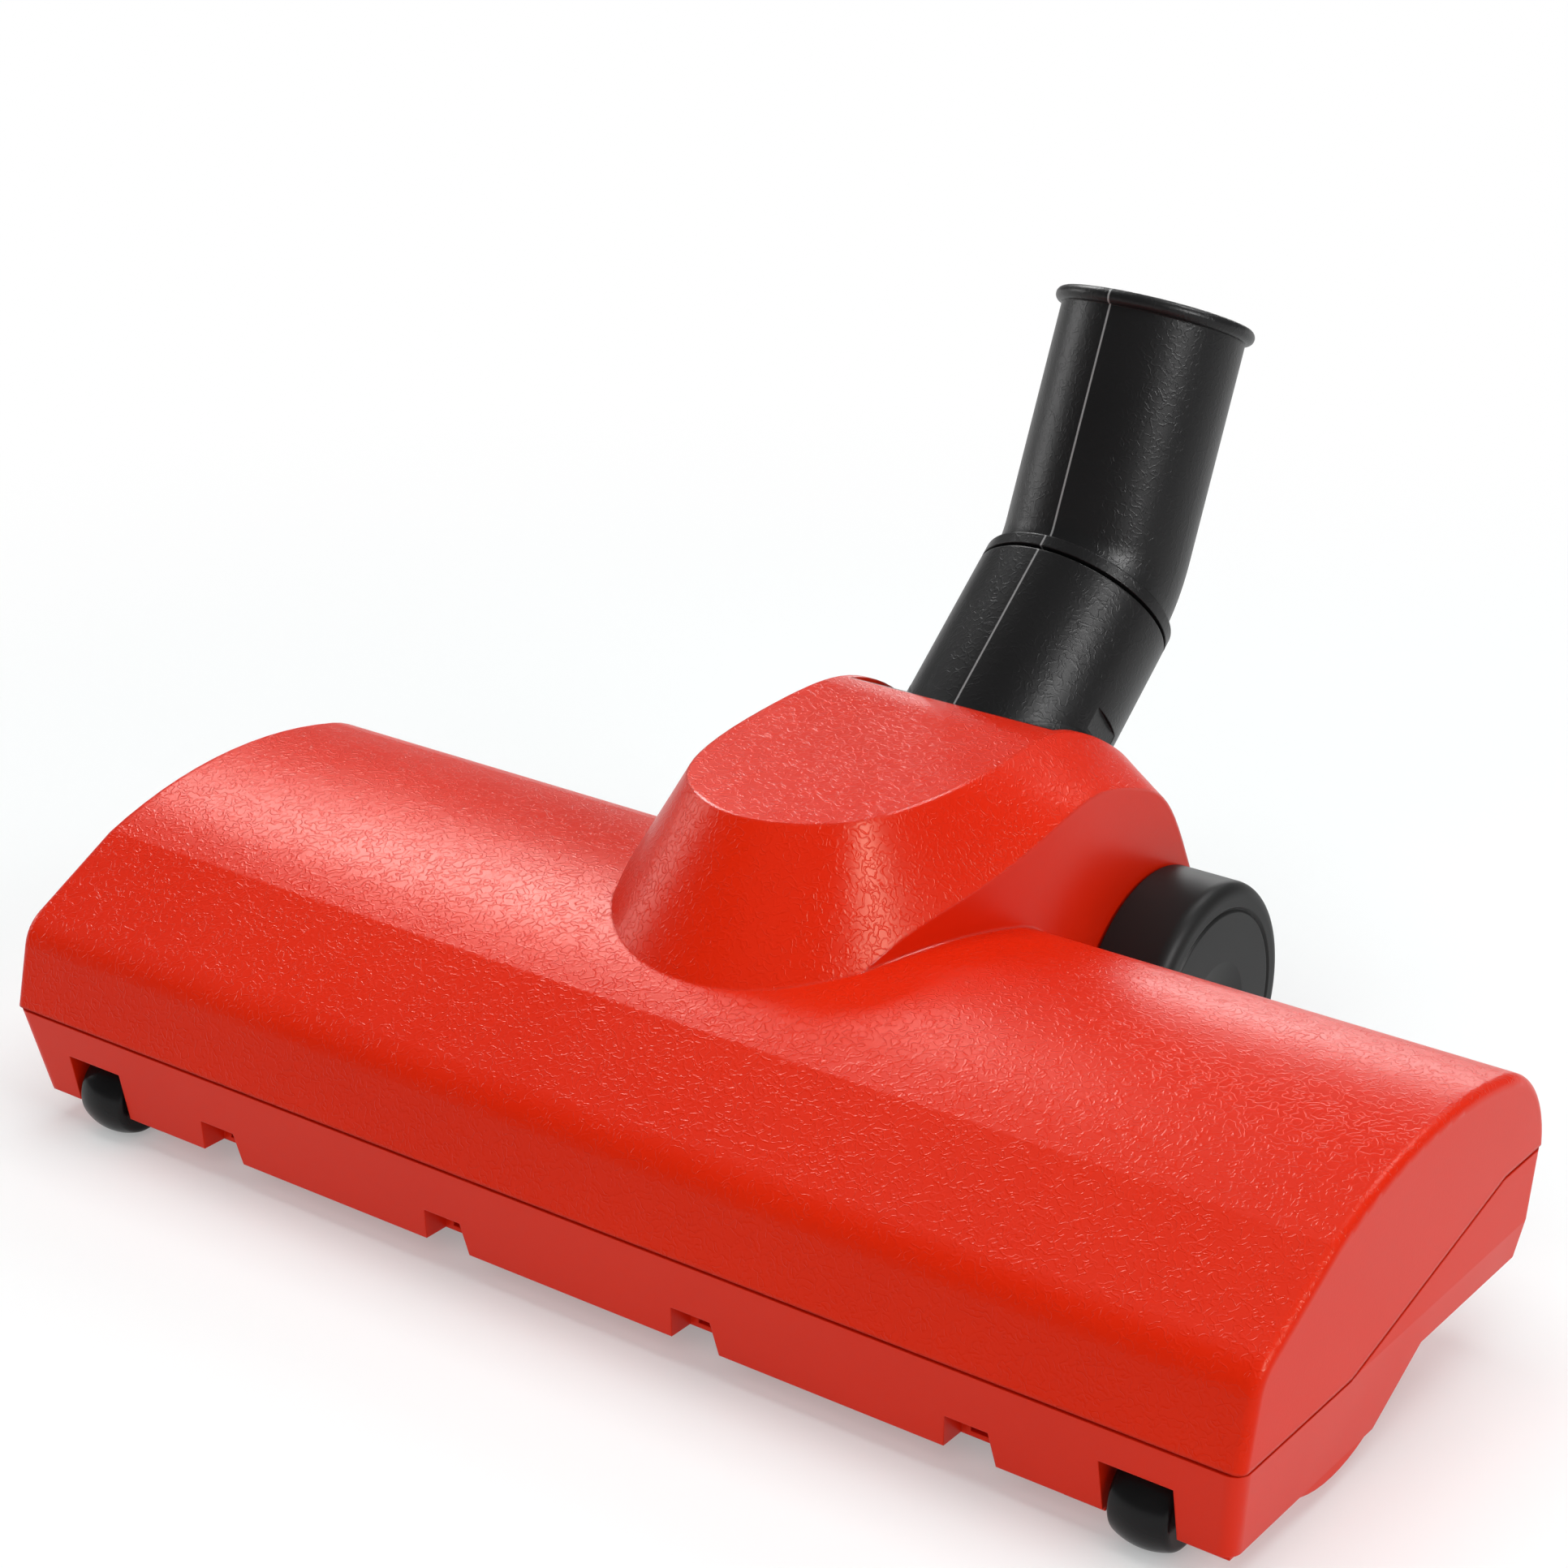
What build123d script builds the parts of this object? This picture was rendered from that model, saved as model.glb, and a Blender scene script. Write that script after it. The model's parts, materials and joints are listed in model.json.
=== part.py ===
from build123d import *
import os
from math import asin, cos, radians, sin, sqrt, tan

# Air-driven floor brush head: a wide housing with a spinning brush roller, driven by a belt from a
# small air turbine, on two rear wheels and two front casters, with a tilting and swivelling neck.
# Millimetres. X runs along the head, Y runs back, Z is up from the floor.
# Sizes called "back" are distances behind the head's front edge.

# Head housing
head_length = 280.0
wall = 2.4
sole_height = 6.5
rear_floor_height = 18.0
seam_front_height = 25.3
seam_rear_height = 39.0
seam_rise_start_back = 37.0
seam_gap = 0.6
front_draft = 4.2
end_draft = 2.8
rear_draft = 6.2
corner_radius = 3.0
tail_room = 18.15

# Cover section
shoulder_back = 3.6
shoulder_height = 42.0
shoulder_radius = 9.0
crease_back = 27.3
crease_height = 54.6
ridge_back = 62.0
ridge_height = 61.7
tail_length = 16.5
tail_height = 58.6
cover_edge_radius = 2.0

# Front casters
caster_radius = 8.4
caster_width = 11.6
caster_crown = 1.4
caster_nose = 1.5
caster_end_distance = 20.0
caster_pin_radius = 1.0
caster_pin_length = 23.7
caster_pocket_width = 14.0
caster_block_width = 32.0
caster_pad = 0.8
caster_pad_margin = 1.0
caster_pad_corner = 8.0

# Brush roller
roller_tube_radius = 12.5
roller_tube_wall = 1.6
roller_flange_radius = 13.4
roller_flange = 2.0
roller_side_gap = 0.6
plug_depth = 8.0
roller_axle_radius = 3.0
axle_overrun = 1.0
tuft_reach = 20.2
tuft_lift = 1.8
tuft_root_radius = 1.3
tuft_tip_radius = 2.1
tuft_pitch = 8.6
tuft_sides = 8
tuft_twist = 1.05
tuft_margin = 1.0

# Roller window
left_block = 15.0
right_block = 19.0
partition = 2.4
dust_gap = 5.3
ramp_foot = 8.0

# Hood over the roller
hood_clearance = 1.2
hood_wall = 1.6
hood_slot_width = 60.0
hood_slot_height = 14.0

# Turbine and its belt drive
turbine_radius = 21.0
turbine_width = 44.0
turbine_clearance = 1.5
blade_count = 12
blade_thickness = 1.2
blade_lean = 6.3
blade_curve = 12.7
turbine_hub_radius = 7.0
turbine_disc = 1.2
turbine_shaft_radius = 2.0
shaft_room = 1.5
duct_share = 0.8
bush_radius = 5.0
bush_length = 5.0
pulley_gap = 2.0
roller_pulley_radius = 9.0
pinion_radius = 4.5
pulley_width = 8.0
pulley_flange = 1.0
pulley_flange_height = 1.9
belt_width = 5.6
belt_thickness = 1.5
belt_clearance = 0.06

# Neck body and hump
body_width = 78.5
body_heel = 19.0
body_rear_radius = 12.0
hump_height = 86.8
hump_pitch = 2.0
hump_nose_back = 54.0
hump_roof_length = 60.0
hump_apron_back = 26.0
cheek_foot_height = 47.0

# Right half of the hump at stations from nose to rear: the crisp top edge, then the crease below it, and
# two points of the apron that carries the crease's line round the nose. By shares of the body's half
# width, of the length from nose to heel, and of the height above the seam.
hump_top_edge = [
    (0.0, 0.0), (0.37, 0.05), (0.56, 0.14), (0.65, 0.28), (0.68, 0.44),
    (0.66, 0.6), (0.52, 0.74), (0.32, 0.85), (0.15, 0.96), (0.08, 1.06),
]
hump_crease = [
    (0.0, -0.17, 0.37), (0.49, -0.11, 0.41), (0.79, 0.06, 0.53), (0.92, 0.27, 0.65), (0.99, 0.46, 0.77),
    (1.0, 0.6, 0.82), (1.0, 0.74, 0.75), (1.0, 0.85, 0.63), (1.0, 0.96, 0.27), (1.0, 1.06, -0.1),
]
hump_apron = [(0.46, -0.18), (0.69, -0.05)]
hump_flare = 1.35

# Flap under the turbine
flap_width = 50.0
flap_thickness = 2.2
flap_gap = 0.3
flap_lead = 15.75
flap_front_share = 0.454
flap_hinge_height = 14.8
flap_knuckle_radius = 2.4
flap_pin_radius = 1.0
flap_arm_width = 6.6
flap_arm_height = 3.6
flap_knuckle_width = 5.4
flap_pin_overrun = 1.0
hinge_room = 2.5

# Latch bar and panel lines behind the flap
latch_length = 10.0
latch_width = 57.0
latch_depth = 0.6
latch_slot_x = 31.4
latch_slot_width = 2.5
latch_slot_depth = 6.0
peg_x = 35.6
peg_radius = 1.6
panel_line_x = 27.4
panel_line_width = 0.6
panel_line_depth = 0.4

# Neck
pivot_lift = 21.9
barrel_radius = 22.0
barrel_width = 47.4
barrel_gap = 0.5
trunnion_radius = 5.0
trunnion_length = 6.0
neck_rise = 40.0
neck_lowest = -12.0
neck_highest = 42.0
sweep_room = 1.0
sleeve_radius = 21.4
sleeve_reach = 51.6
sleeve_wall = 2.5
spigot_length = 14.0
clip_room = 2.4
swivel_gap = 0.5
swivel_bead = 2.6
bend_angle = 27.0
bend_radius = 26.0
tube_radius = 19.7
tube_length = 50.0
socket_radius = 16.2
rim_bead_radius = 1.6

# Rear wheels
wheel_radius = 27.2
wheel_width = 15.6
wheel_gap = 4.3
wheel_axle_radius = 3.0
wheel_edge_radius = 3.0
wheel_rim = 5.0
wheel_boss_radius = 8.0
wheel_hollow = 9.0
wheel_ring_radius = 21.8
wheel_groove = 0.6
wheel_dimple_radius = 11.0
wheel_dimple = 0.9
wheel_face = 2.6
wheel_washer = 0.6
wheel_washer_radius = 7.0

# Screws, rails and front air notches
screw_end_distance = 52.0
screw_rail_distance = 2.0
neck_screw_inset = 6.65
neck_screw_heel = 8.0
screw_shank_radius = 1.7
screw_head_radius = 3.8
screw_head = 2.6
screw_grip = 14.0
screw_recess_radius = 1.5
well_radius = 4.3
well_wall = 2.2
well_roof_height = 29.0
neck_well_roof_height = 33.0
rail_bottom = 8.0
rail_width = 1.4
rail_gap = 5.0
rail_step = 1.0
rail_tab_width = 9.0
rail_tab = 1.2
strip_width = 1.2
strip_bottom = 4.2
end_rib_distance = 10.0
end_rib_bottom = 5.0
end_rib_length = 21.0
ramp_hole_inset = 4.0
ramp_hole_width = 3.3
ramp_hole_depth = 2.1
notch_margin = 17.0
notch_width = 10.5
notch_top_width = 8.6
notch_height = 7.0
notch_back_wall = 4.0
notch_lip = 1.0
swell_chord = 23.0
swell_depth = 2.0
swell_shift = 3.5

# Clearances
running = 0.05
seat = 0.03
part_gap = 0.3

# Places along the head, worked out from the sizes above
half_length = head_length / 2
window_left = left_block - half_length
window_right = half_length - right_block
roller_left = window_left + part_gap + roller_flange + partition
roller_right = window_right - part_gap - roller_flange - partition
pulley_x = window_right + partition + pulley_gap
caster_x = half_length - caster_end_distance
caster_block_inner_x = caster_x - caster_block_width / 2
tuft_span = 2 * (caster_block_inner_x - tuft_margin)
tuft_zero_x = head_length / 8
screw_x = half_length - screw_end_distance
neck_screw_x = body_width / 2 - neck_screw_inset
end_rib_x = half_length - end_rib_distance
ramp_hole_x = window_right - ramp_hole_inset
notch_spacing = (caster_block_inner_x - notch_margin) / 1.5
notch_places = [notch_spacing * step for step in (-1.5, -0.5, 0.5, 1.5)]
tab_spacing = screw_x / 3.5
tab_places = [tab_spacing * step for step in (-4.5, -2.5, -1.5, -0.5, 0.5, 1.5, 2.5, 4.5)]
wheel_inner_x = body_width / 2 + wheel_washer + 2 * running
wheel_outer_x = wheel_inner_x + wheel_width

# Places behind the front edge, each from the piece before it
caster_back = caster_nose + caster_radius
caster_block_back = caster_back + caster_radius + part_gap + wall
roller_back = caster_block_back + roller_flange_radius + roller_side_gap
bristle_chamber = tuft_reach + hood_clearance
hood_radius = bristle_chamber + hood_wall
window_front_back = roller_back - bristle_chamber
window_rear_back = roller_back + roller_tube_radius + dust_gap
ramp_start_back = window_rear_back + part_gap
ramp_end_back = roller_back + hood_radius + ramp_foot
front_rail_back = ramp_end_back - rail_step
rear_rail_back = front_rail_back + rail_gap
strip_middle_back = (front_rail_back + rear_rail_back) / 2
screw_back = rear_rail_back + screw_rail_distance
flap_hinge_back = rear_rail_back + rail_width / 2 + hinge_room + flap_knuckle_radius
turbine_back = flap_hinge_back + flap_lead
chamber_radius = turbine_radius + turbine_clearance
chamber_width = turbine_width + 2 * turbine_clearance
flap_inner_radius = chamber_radius + part_gap
flap_outer_radius = flap_inner_radius + flap_thickness
flap_front_back = turbine_back - flap_front_share * flap_outer_radius
flap_rear_back = turbine_back + flap_outer_radius - part_gap
body_front_back = turbine_back - flap_outer_radius - part_gap
turbine_height = seam_rear_height
pivot_height = turbine_height + pivot_lift
channel_radius = barrel_radius + barrel_gap
channel_width = barrel_width + 2 * barrel_gap
turbine_spacing = channel_radius + chamber_radius + part_gap
pivot_back = turbine_back + sqrt(turbine_spacing**2 - pivot_lift**2)
head_depth = turbine_back + tail_room
seam_rise_end_back = head_depth - tail_length
wheel_back = head_depth + wheel_gap + wheel_radius
body_rear_back = wheel_back + body_heel
neck_screw_back = body_rear_back - neck_screw_heel
hump_roof_back = hump_nose_back + hump_roof_length

# Neck line, overall depth and heights
neck_tilt = radians(neck_rise)
tube_tilt = radians(neck_rise + bend_angle)
bend_tangent = bend_radius * tan(radians(bend_angle) / 2)
corner_reach = swivel_gap + swivel_bead + bend_tangent
neck_run = (sleeve_reach + corner_reach) * cos(neck_tilt)
mouth_back = pivot_back + neck_run + (bend_tangent + tube_length) * cos(tube_tilt)
rim_centre_back = mouth_back - rim_bead_radius * cos(tube_tilt)
overall_depth = rim_centre_back + tube_radius * sin(tube_tilt) + rim_bead_radius
front = -overall_depth / 2
roller_height = tuft_reach + tuft_lift
roller_axle_bore = roller_axle_radius + running
body_floor = turbine_height - flap_outer_radius
boss_foot_height = well_roof_height + wall
inlet_width = chamber_width - 2 * wall
inlet_heights = (turbine_height + wall, turbine_height + chamber_radius / 2)
caster_block_height = 2 * caster_radius + part_gap + wall
roller_y = front + roller_back
turbine_y = front + turbine_back
pivot_y = front + pivot_back
wheel_y = front + wheel_back


def seam_height(y):
    """Height of the seam between cover and base, at y."""
    share = (y - front - seam_rise_start_back) / (seam_rise_end_back - seam_rise_start_back)
    return seam_front_height + (seam_rear_height - seam_front_height) * min(1.0, max(0.0, share))


def side_face(*points, x=0.0):
    """A straight-sided face across the head, from (back, height) points, at x."""
    with BuildSketch(Plane.YZ.offset(x)) as face:
        with BuildLine():
            Polyline(*[(front + back, height) for back, height in points], close=True)
        make_face()
    return face.sketch


def disc(x, y, height, radius):
    """A round face across the head, at x."""
    with BuildSketch(Plane.YZ.offset(x)) as face:
        with Locations((y, height)):
            Circle(radius)
    return face.sketch


def rod(start, end, y, height, radius, mode=Mode.ADD):
    """A round bar along the head, from start to end."""
    extrude(disc(start, y, height, radius), amount=end - start, mode=mode)


def block(x_range, back_range, height_range, mode=Mode.ADD):
    """A straight block between pairs of x, back and height."""
    with BuildSketch(Plane.XY.offset(height_range[0])) as foot:
        with Locations((sum(x_range) / 2, front + sum(back_range) / 2)):
            Rectangle(x_range[1] - x_range[0], back_range[1] - back_range[0])
    extrude(foot.sketch, amount=height_range[1] - height_range[0], mode=mode)


def post(x, back, bottom, top, radius, mode=Mode.ADD):
    """An upright round post."""
    with BuildSketch(Plane.XY.offset(bottom)) as foot:
        with Locations((x, front + back)):
            Circle(radius)
    extrude(foot.sketch, amount=top - bottom, mode=mode)


def about(middle, width):
    """The range of this width about a middle."""
    return (middle - width / 2, middle + width / 2)


def tray_section(height, inset):
    """Level section of the drafted head, drawn in by inset."""
    share = max(0.0, (seam_front_height - height) / (seam_front_height - sole_height))
    rear_share = (seam_rear_height - height) / (seam_rear_height - sole_height)
    near = front + inset + front_draft * share
    far = front + head_depth - inset - rear_draft * rear_share
    with BuildSketch(Plane.XY.offset(height)) as section:
        with Locations((0, (near + far) / 2)):
            RectangleRounded(head_length - 2 * (inset + end_draft * share), far - near, corner_radius)
    return section.sketch


def cover_section():
    """Cross section of the whole cover, down to the seam."""
    with BuildSketch(Plane.YZ) as section:
        with BuildLine():
            face_line = Polyline(
                (front, seam_front_height),
                (front + shoulder_back, shoulder_height),
                (front + crease_back, crease_height),
            )
            top = ThreePointArc(
                face_line @ 1,
                (front + ridge_back, ridge_height),
                (front + head_depth - tail_length, tail_height),
            )
            tail = TangentArc(top @ 1, (front + head_depth, seam_rear_height), tangent=top % 1)
            Polyline(
                tail @ 1,
                (front + seam_rise_end_back, seam_rear_height),
                (front + seam_rise_start_back, seam_front_height),
                face_line @ 0,
            )
        make_face()
        shoulder = section.vertices().sort_by_distance((front + shoulder_back, shoulder_height))[0]
        fillet(shoulder, shoulder_radius)
    return section.sketch


def hump_point(share_x, share_back, height):
    """A point of the hump's right half, from shares of the body's half width and the hump's length."""
    length = body_rear_back - hump_nose_back
    return Vector(share_x * body_width / 2, front + hump_nose_back + share_back * length, height)


def roof_height(y):
    """Height of the hump's roof, which rises to the rear, at y."""
    return hump_height - (front + hump_roof_back - y) * tan(radians(hump_pitch))


def flap_section(clearance, x):
    """Curved front and flat rear of the flap, widened by clearance."""
    start = asin((flap_front_back - clearance - turbine_back) / flap_outer_radius)
    inner = flap_inner_radius - clearance
    outer = flap_outer_radius + clearance
    rear = front + flap_rear_back + clearance
    with BuildSketch(Plane.YZ.offset(x)) as section:
        with BuildLine():
            skin = RadiusArc(
                (turbine_y + outer * sin(start), turbine_height - outer * cos(start)),
                (turbine_y, turbine_height - outer),
                -outer,
            )
            lining = RadiusArc(
                (turbine_y + inner * sin(start), turbine_height - inner * cos(start)),
                (turbine_y, turbine_height - inner),
                -inner,
            )
            Line(skin @ 0, lining @ 0)
            Polyline(skin @ 1, (rear, turbine_height - outer), (rear, turbine_height - inner), lining @ 1)
        make_face()
    return section.sketch


os.makedirs("parts", exist_ok=True)

cover_face = cover_section()
cover_hollow_face = offset(cover_face, amount=-wall, kind=Kind.INTERSECTION)
lowered_hollow_face = Pos(0, 0, -2 * wall) * cover_hollow_face

# Air and moving-part spaces that both halves of the neck body share
with BuildPart() as body_spaces:
    rod(-chamber_width / 2, chamber_width / 2, turbine_y, turbine_height, chamber_radius)
    rod(-channel_width / 2, channel_width / 2, pivot_y, pivot_height, channel_radius)
    envelope = sleeve_radius + sweep_room
    high = radians(neck_highest)
    low = radians(neck_lowest)
    far = 2 * (body_rear_back - pivot_back)
    sweep_top = (pivot_back - envelope * sin(high), pivot_height + envelope * cos(high))
    sweep_bottom = (pivot_back + envelope * sin(low), pivot_height - envelope * cos(low))
    sleeve_path = side_face(
        sweep_top,
        (sweep_top[0] + far * cos(high), sweep_top[1] + far * sin(high)),
        (sweep_bottom[0] + far * cos(low), sweep_bottom[1] + far * sin(low)),
        sweep_bottom,
    )
    extrude(sleeve_path, amount=channel_width / 2, both=True)
    duct = side_face(
        (turbine_back, turbine_height),
        (turbine_back, turbine_height + chamber_radius * duct_share),
        (pivot_back, pivot_height),
        (pivot_back, pivot_height - barrel_radius * duct_share),
    )
    extrude(duct, amount=channel_width / 2 - wall, both=True)
    rod(-body_width / 2, body_width / 2, turbine_y, turbine_height, turbine_shaft_radius + shaft_room)
    for side in (-1, 1):
        bush_inner = side * (chamber_width / 2 + wall)
        rod(bush_inner, bush_inner + side * bush_length, turbine_y, turbine_height, bush_radius + seat)
        trunnion_end = side * (channel_width / 2 + trunnion_length)
        rod(0, trunnion_end, pivot_y, pivot_height, trunnion_radius + running)

# Solid form of the hump and of the upper neck body, before it is opened up. Its skirt is a ruled face
# from the crisp top edge, through the crease and on past it; the upright plan then trims it there.
top_points = []
for x, back in hump_top_edge:
    edge_point = hump_point(x, back, 0)
    top_points.append(edge_point + Vector(0, 0, roof_height(edge_point.Y)))
skirt_points = []
for top_point, (x, back, rise) in zip(top_points, hump_crease):
    crease_point = hump_point(x, back, seam_rear_height + rise * (hump_height - seam_rear_height))
    skirt_points.append(top_point + (crease_point - top_point) * hump_flare)
foot_points = [Vector(point.X, point.Y, 0) for point in skirt_points]
stations = [0.0]
for step in range(1, len(top_points)):
    top_span = (top_points[step] - top_points[step - 1]).length
    skirt_span = (skirt_points[step] - skirt_points[step - 1]).length
    stations.append(stations[-1] + top_span + skirt_span)
both_stations = [-station for station in reversed(stations[1:])] + stations
hump_edges = []
for points in (top_points, skirt_points, foot_points):
    left_points = [Vector(-point.X, point.Y, point.Z) for point in reversed(points[1:])]
    hump_edges.append(Edge.make_spline([*left_points, *points], parameters=both_stations))
rear_corners = [edge @ 1 for edge in hump_edges] + [edge @ 0 for edge in reversed(hump_edges)]
roof_face = Face(Wire([hump_edges[0], Line(hump_edges[0] @ 1, hump_edges[0] @ 0)]))
hump_faces = [
    roof_face,
    Face.make_surface_from_curves(hump_edges[0], hump_edges[1]),
    Face.make_surface_from_curves(hump_edges[1], hump_edges[2]),
    Face(Wire([hump_edges[2], Line(hump_edges[2] @ 1, hump_edges[2] @ 0)])),
    Face(Wire.make_polygon(rear_corners)),
]

with BuildPart() as hump_form:
    add(Solid(Shell(hump_faces)))
    with BuildSketch() as plan:
        with BuildLine():
            flank_shares = [*hump_apron, *[(x, back) for x, back, rise in hump_crease[2:7]]]
            right_points = [hump_point(x, back, 0) for x, back in flank_shares]
            left_points = [Vector(-point.X, point.Y) for point in reversed(right_points)]
            flank = Spline(*left_points, (0, front + hump_apron_back), *right_points)
            rear_y = front + body_rear_back
            Polyline(flank @ 1, (body_width / 2, rear_y), (-body_width / 2, rear_y), flank @ 0)
        make_face()
    extrude(plan.sketch, amount=2 * hump_height, mode=Mode.INTERSECT)
    with BuildSketch(Plane.YZ) as profile:
        with BuildLine():
            roof = Line((front, roof_height(front)), (front + hump_roof_back, hump_height))
            cheek = TangentArc(roof @ 1, (front + body_rear_back, cheek_foot_height), tangent=roof % 1)
            foot = (front + body_rear_back, seam_rear_height)
            Polyline(cheek @ 1, foot, (front, seam_rear_height), roof @ 0)
        make_face()
    extrude(profile.sketch, amount=body_width / 2, both=True, mode=Mode.INTERSECT)

# Inside of the hump's front, above the turbine and open to the cover's inside below the nose
with BuildPart() as hump_hollow:
    hollow_rear = pivot_back - channel_radius - wall
    hollow_floor = turbine_height + chamber_radius + wall
    brow = top_points[2] + Vector(-wall, wall / 2)
    temple = top_points[3] + Vector(-wall, 0)
    with BuildSketch(Plane.XY.offset(crease_height)) as hollow_plan:
        with BuildLine():
            nose_arc = ThreePointArc((-brow.X, brow.Y), (0, top_points[0].Y + wall), (brow.X, brow.Y))
            Polyline(
                nose_arc @ 1,
                (temple.X, temple.Y),
                (temple.X, front + hollow_rear),
                (-temple.X, front + hollow_rear),
                (-temple.X, temple.Y),
                nose_arc @ 0,
            )
        make_face()
    extrude(hollow_plan.sketch, amount=top_points[0].Z - wall - crease_height)
    body_range = about(0, body_width)
    block(body_range, (body_front_back, body_rear_back), (0, hollow_floor), mode=Mode.SUBTRACT)

# Inside of the cover, in front of and beside the neck body
with BuildPart() as cover_hollow:
    extrude(cover_hollow_face, amount=half_length - wall, both=True)
    extrude(lowered_hollow_face, amount=half_length - wall, both=True)
    body_back = (body_front_back, body_rear_back)
    block(body_range, body_back, (seam_rear_height, hump_height), mode=Mode.SUBTRACT)
    block(body_range, body_back, (0, seam_rear_height))

with BuildPart() as top_cover:
    extrude(cover_face, amount=half_length, both=True)
    end_faces = top_cover.faces().filter_by(Axis.X)
    rims = end_faces.edges().filter_by(lambda edge: edge.center().Z > seam_height(edge.center().Y) + wall)
    fillet(rims, cover_edge_radius)
    add(hump_form.part)
    add(cover_hollow.part, mode=Mode.SUBTRACT)
    add(hump_hollow.part, mode=Mode.SUBTRACT)
    pilot_radius = screw_shank_radius + seat
    pilot_top = well_roof_height + screw_grip + part_gap
    neck_pilot_top = neck_well_roof_height + screw_grip + part_gap
    for side in (-1, 1):
        x = side * screw_x
        post(x, screw_back, boss_foot_height, ridge_height - wall / 2, well_radius)
        post(x, screw_back, boss_foot_height, pilot_top, pilot_radius, Mode.SUBTRACT)
        x = side * neck_screw_x
        post(x, neck_screw_back, seam_rear_height, neck_pilot_top, pilot_radius, Mode.SUBTRACT)
    add(body_spaces.part, mode=Mode.SUBTRACT)
    inlet = about(0, inlet_width)
    block(inlet, (body_front_back - wall, turbine_back), inlet_heights, mode=Mode.SUBTRACT)

# Inside of the base tray, around the blocks that carry the casters and the front notches
with BuildPart() as tray_hollow:
    loft(
        [
            tray_section(sole_height, wall),
            tray_section(seam_front_height, wall),
            tray_section(seam_rear_height, wall),
        ],
        ruled=True,
    )
    inside = side_face(
        (0, sole_height + wall),
        (ramp_start_back, sole_height + wall),
        (ramp_end_back, rear_floor_height + wall),
        (head_depth, rear_floor_height + wall),
        (head_depth, seam_rear_height),
        (0, seam_rear_height),
    )
    extrude(inside, amount=half_length, both=True, mode=Mode.INTERSECT)
    for side in (-1, 1):
        caster_block = sorted((side * caster_block_inner_x, side * half_length))
        block(caster_block, (0, caster_block_back), (0, caster_block_height), mode=Mode.SUBTRACT)
    notch_roof = sole_height + notch_height + wall
    for place in notch_places:
        notch_block = about(place, notch_width + 2 * wall)
        block(notch_block, (0, window_front_back), (0, notch_roof), mode=Mode.SUBTRACT)

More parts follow.
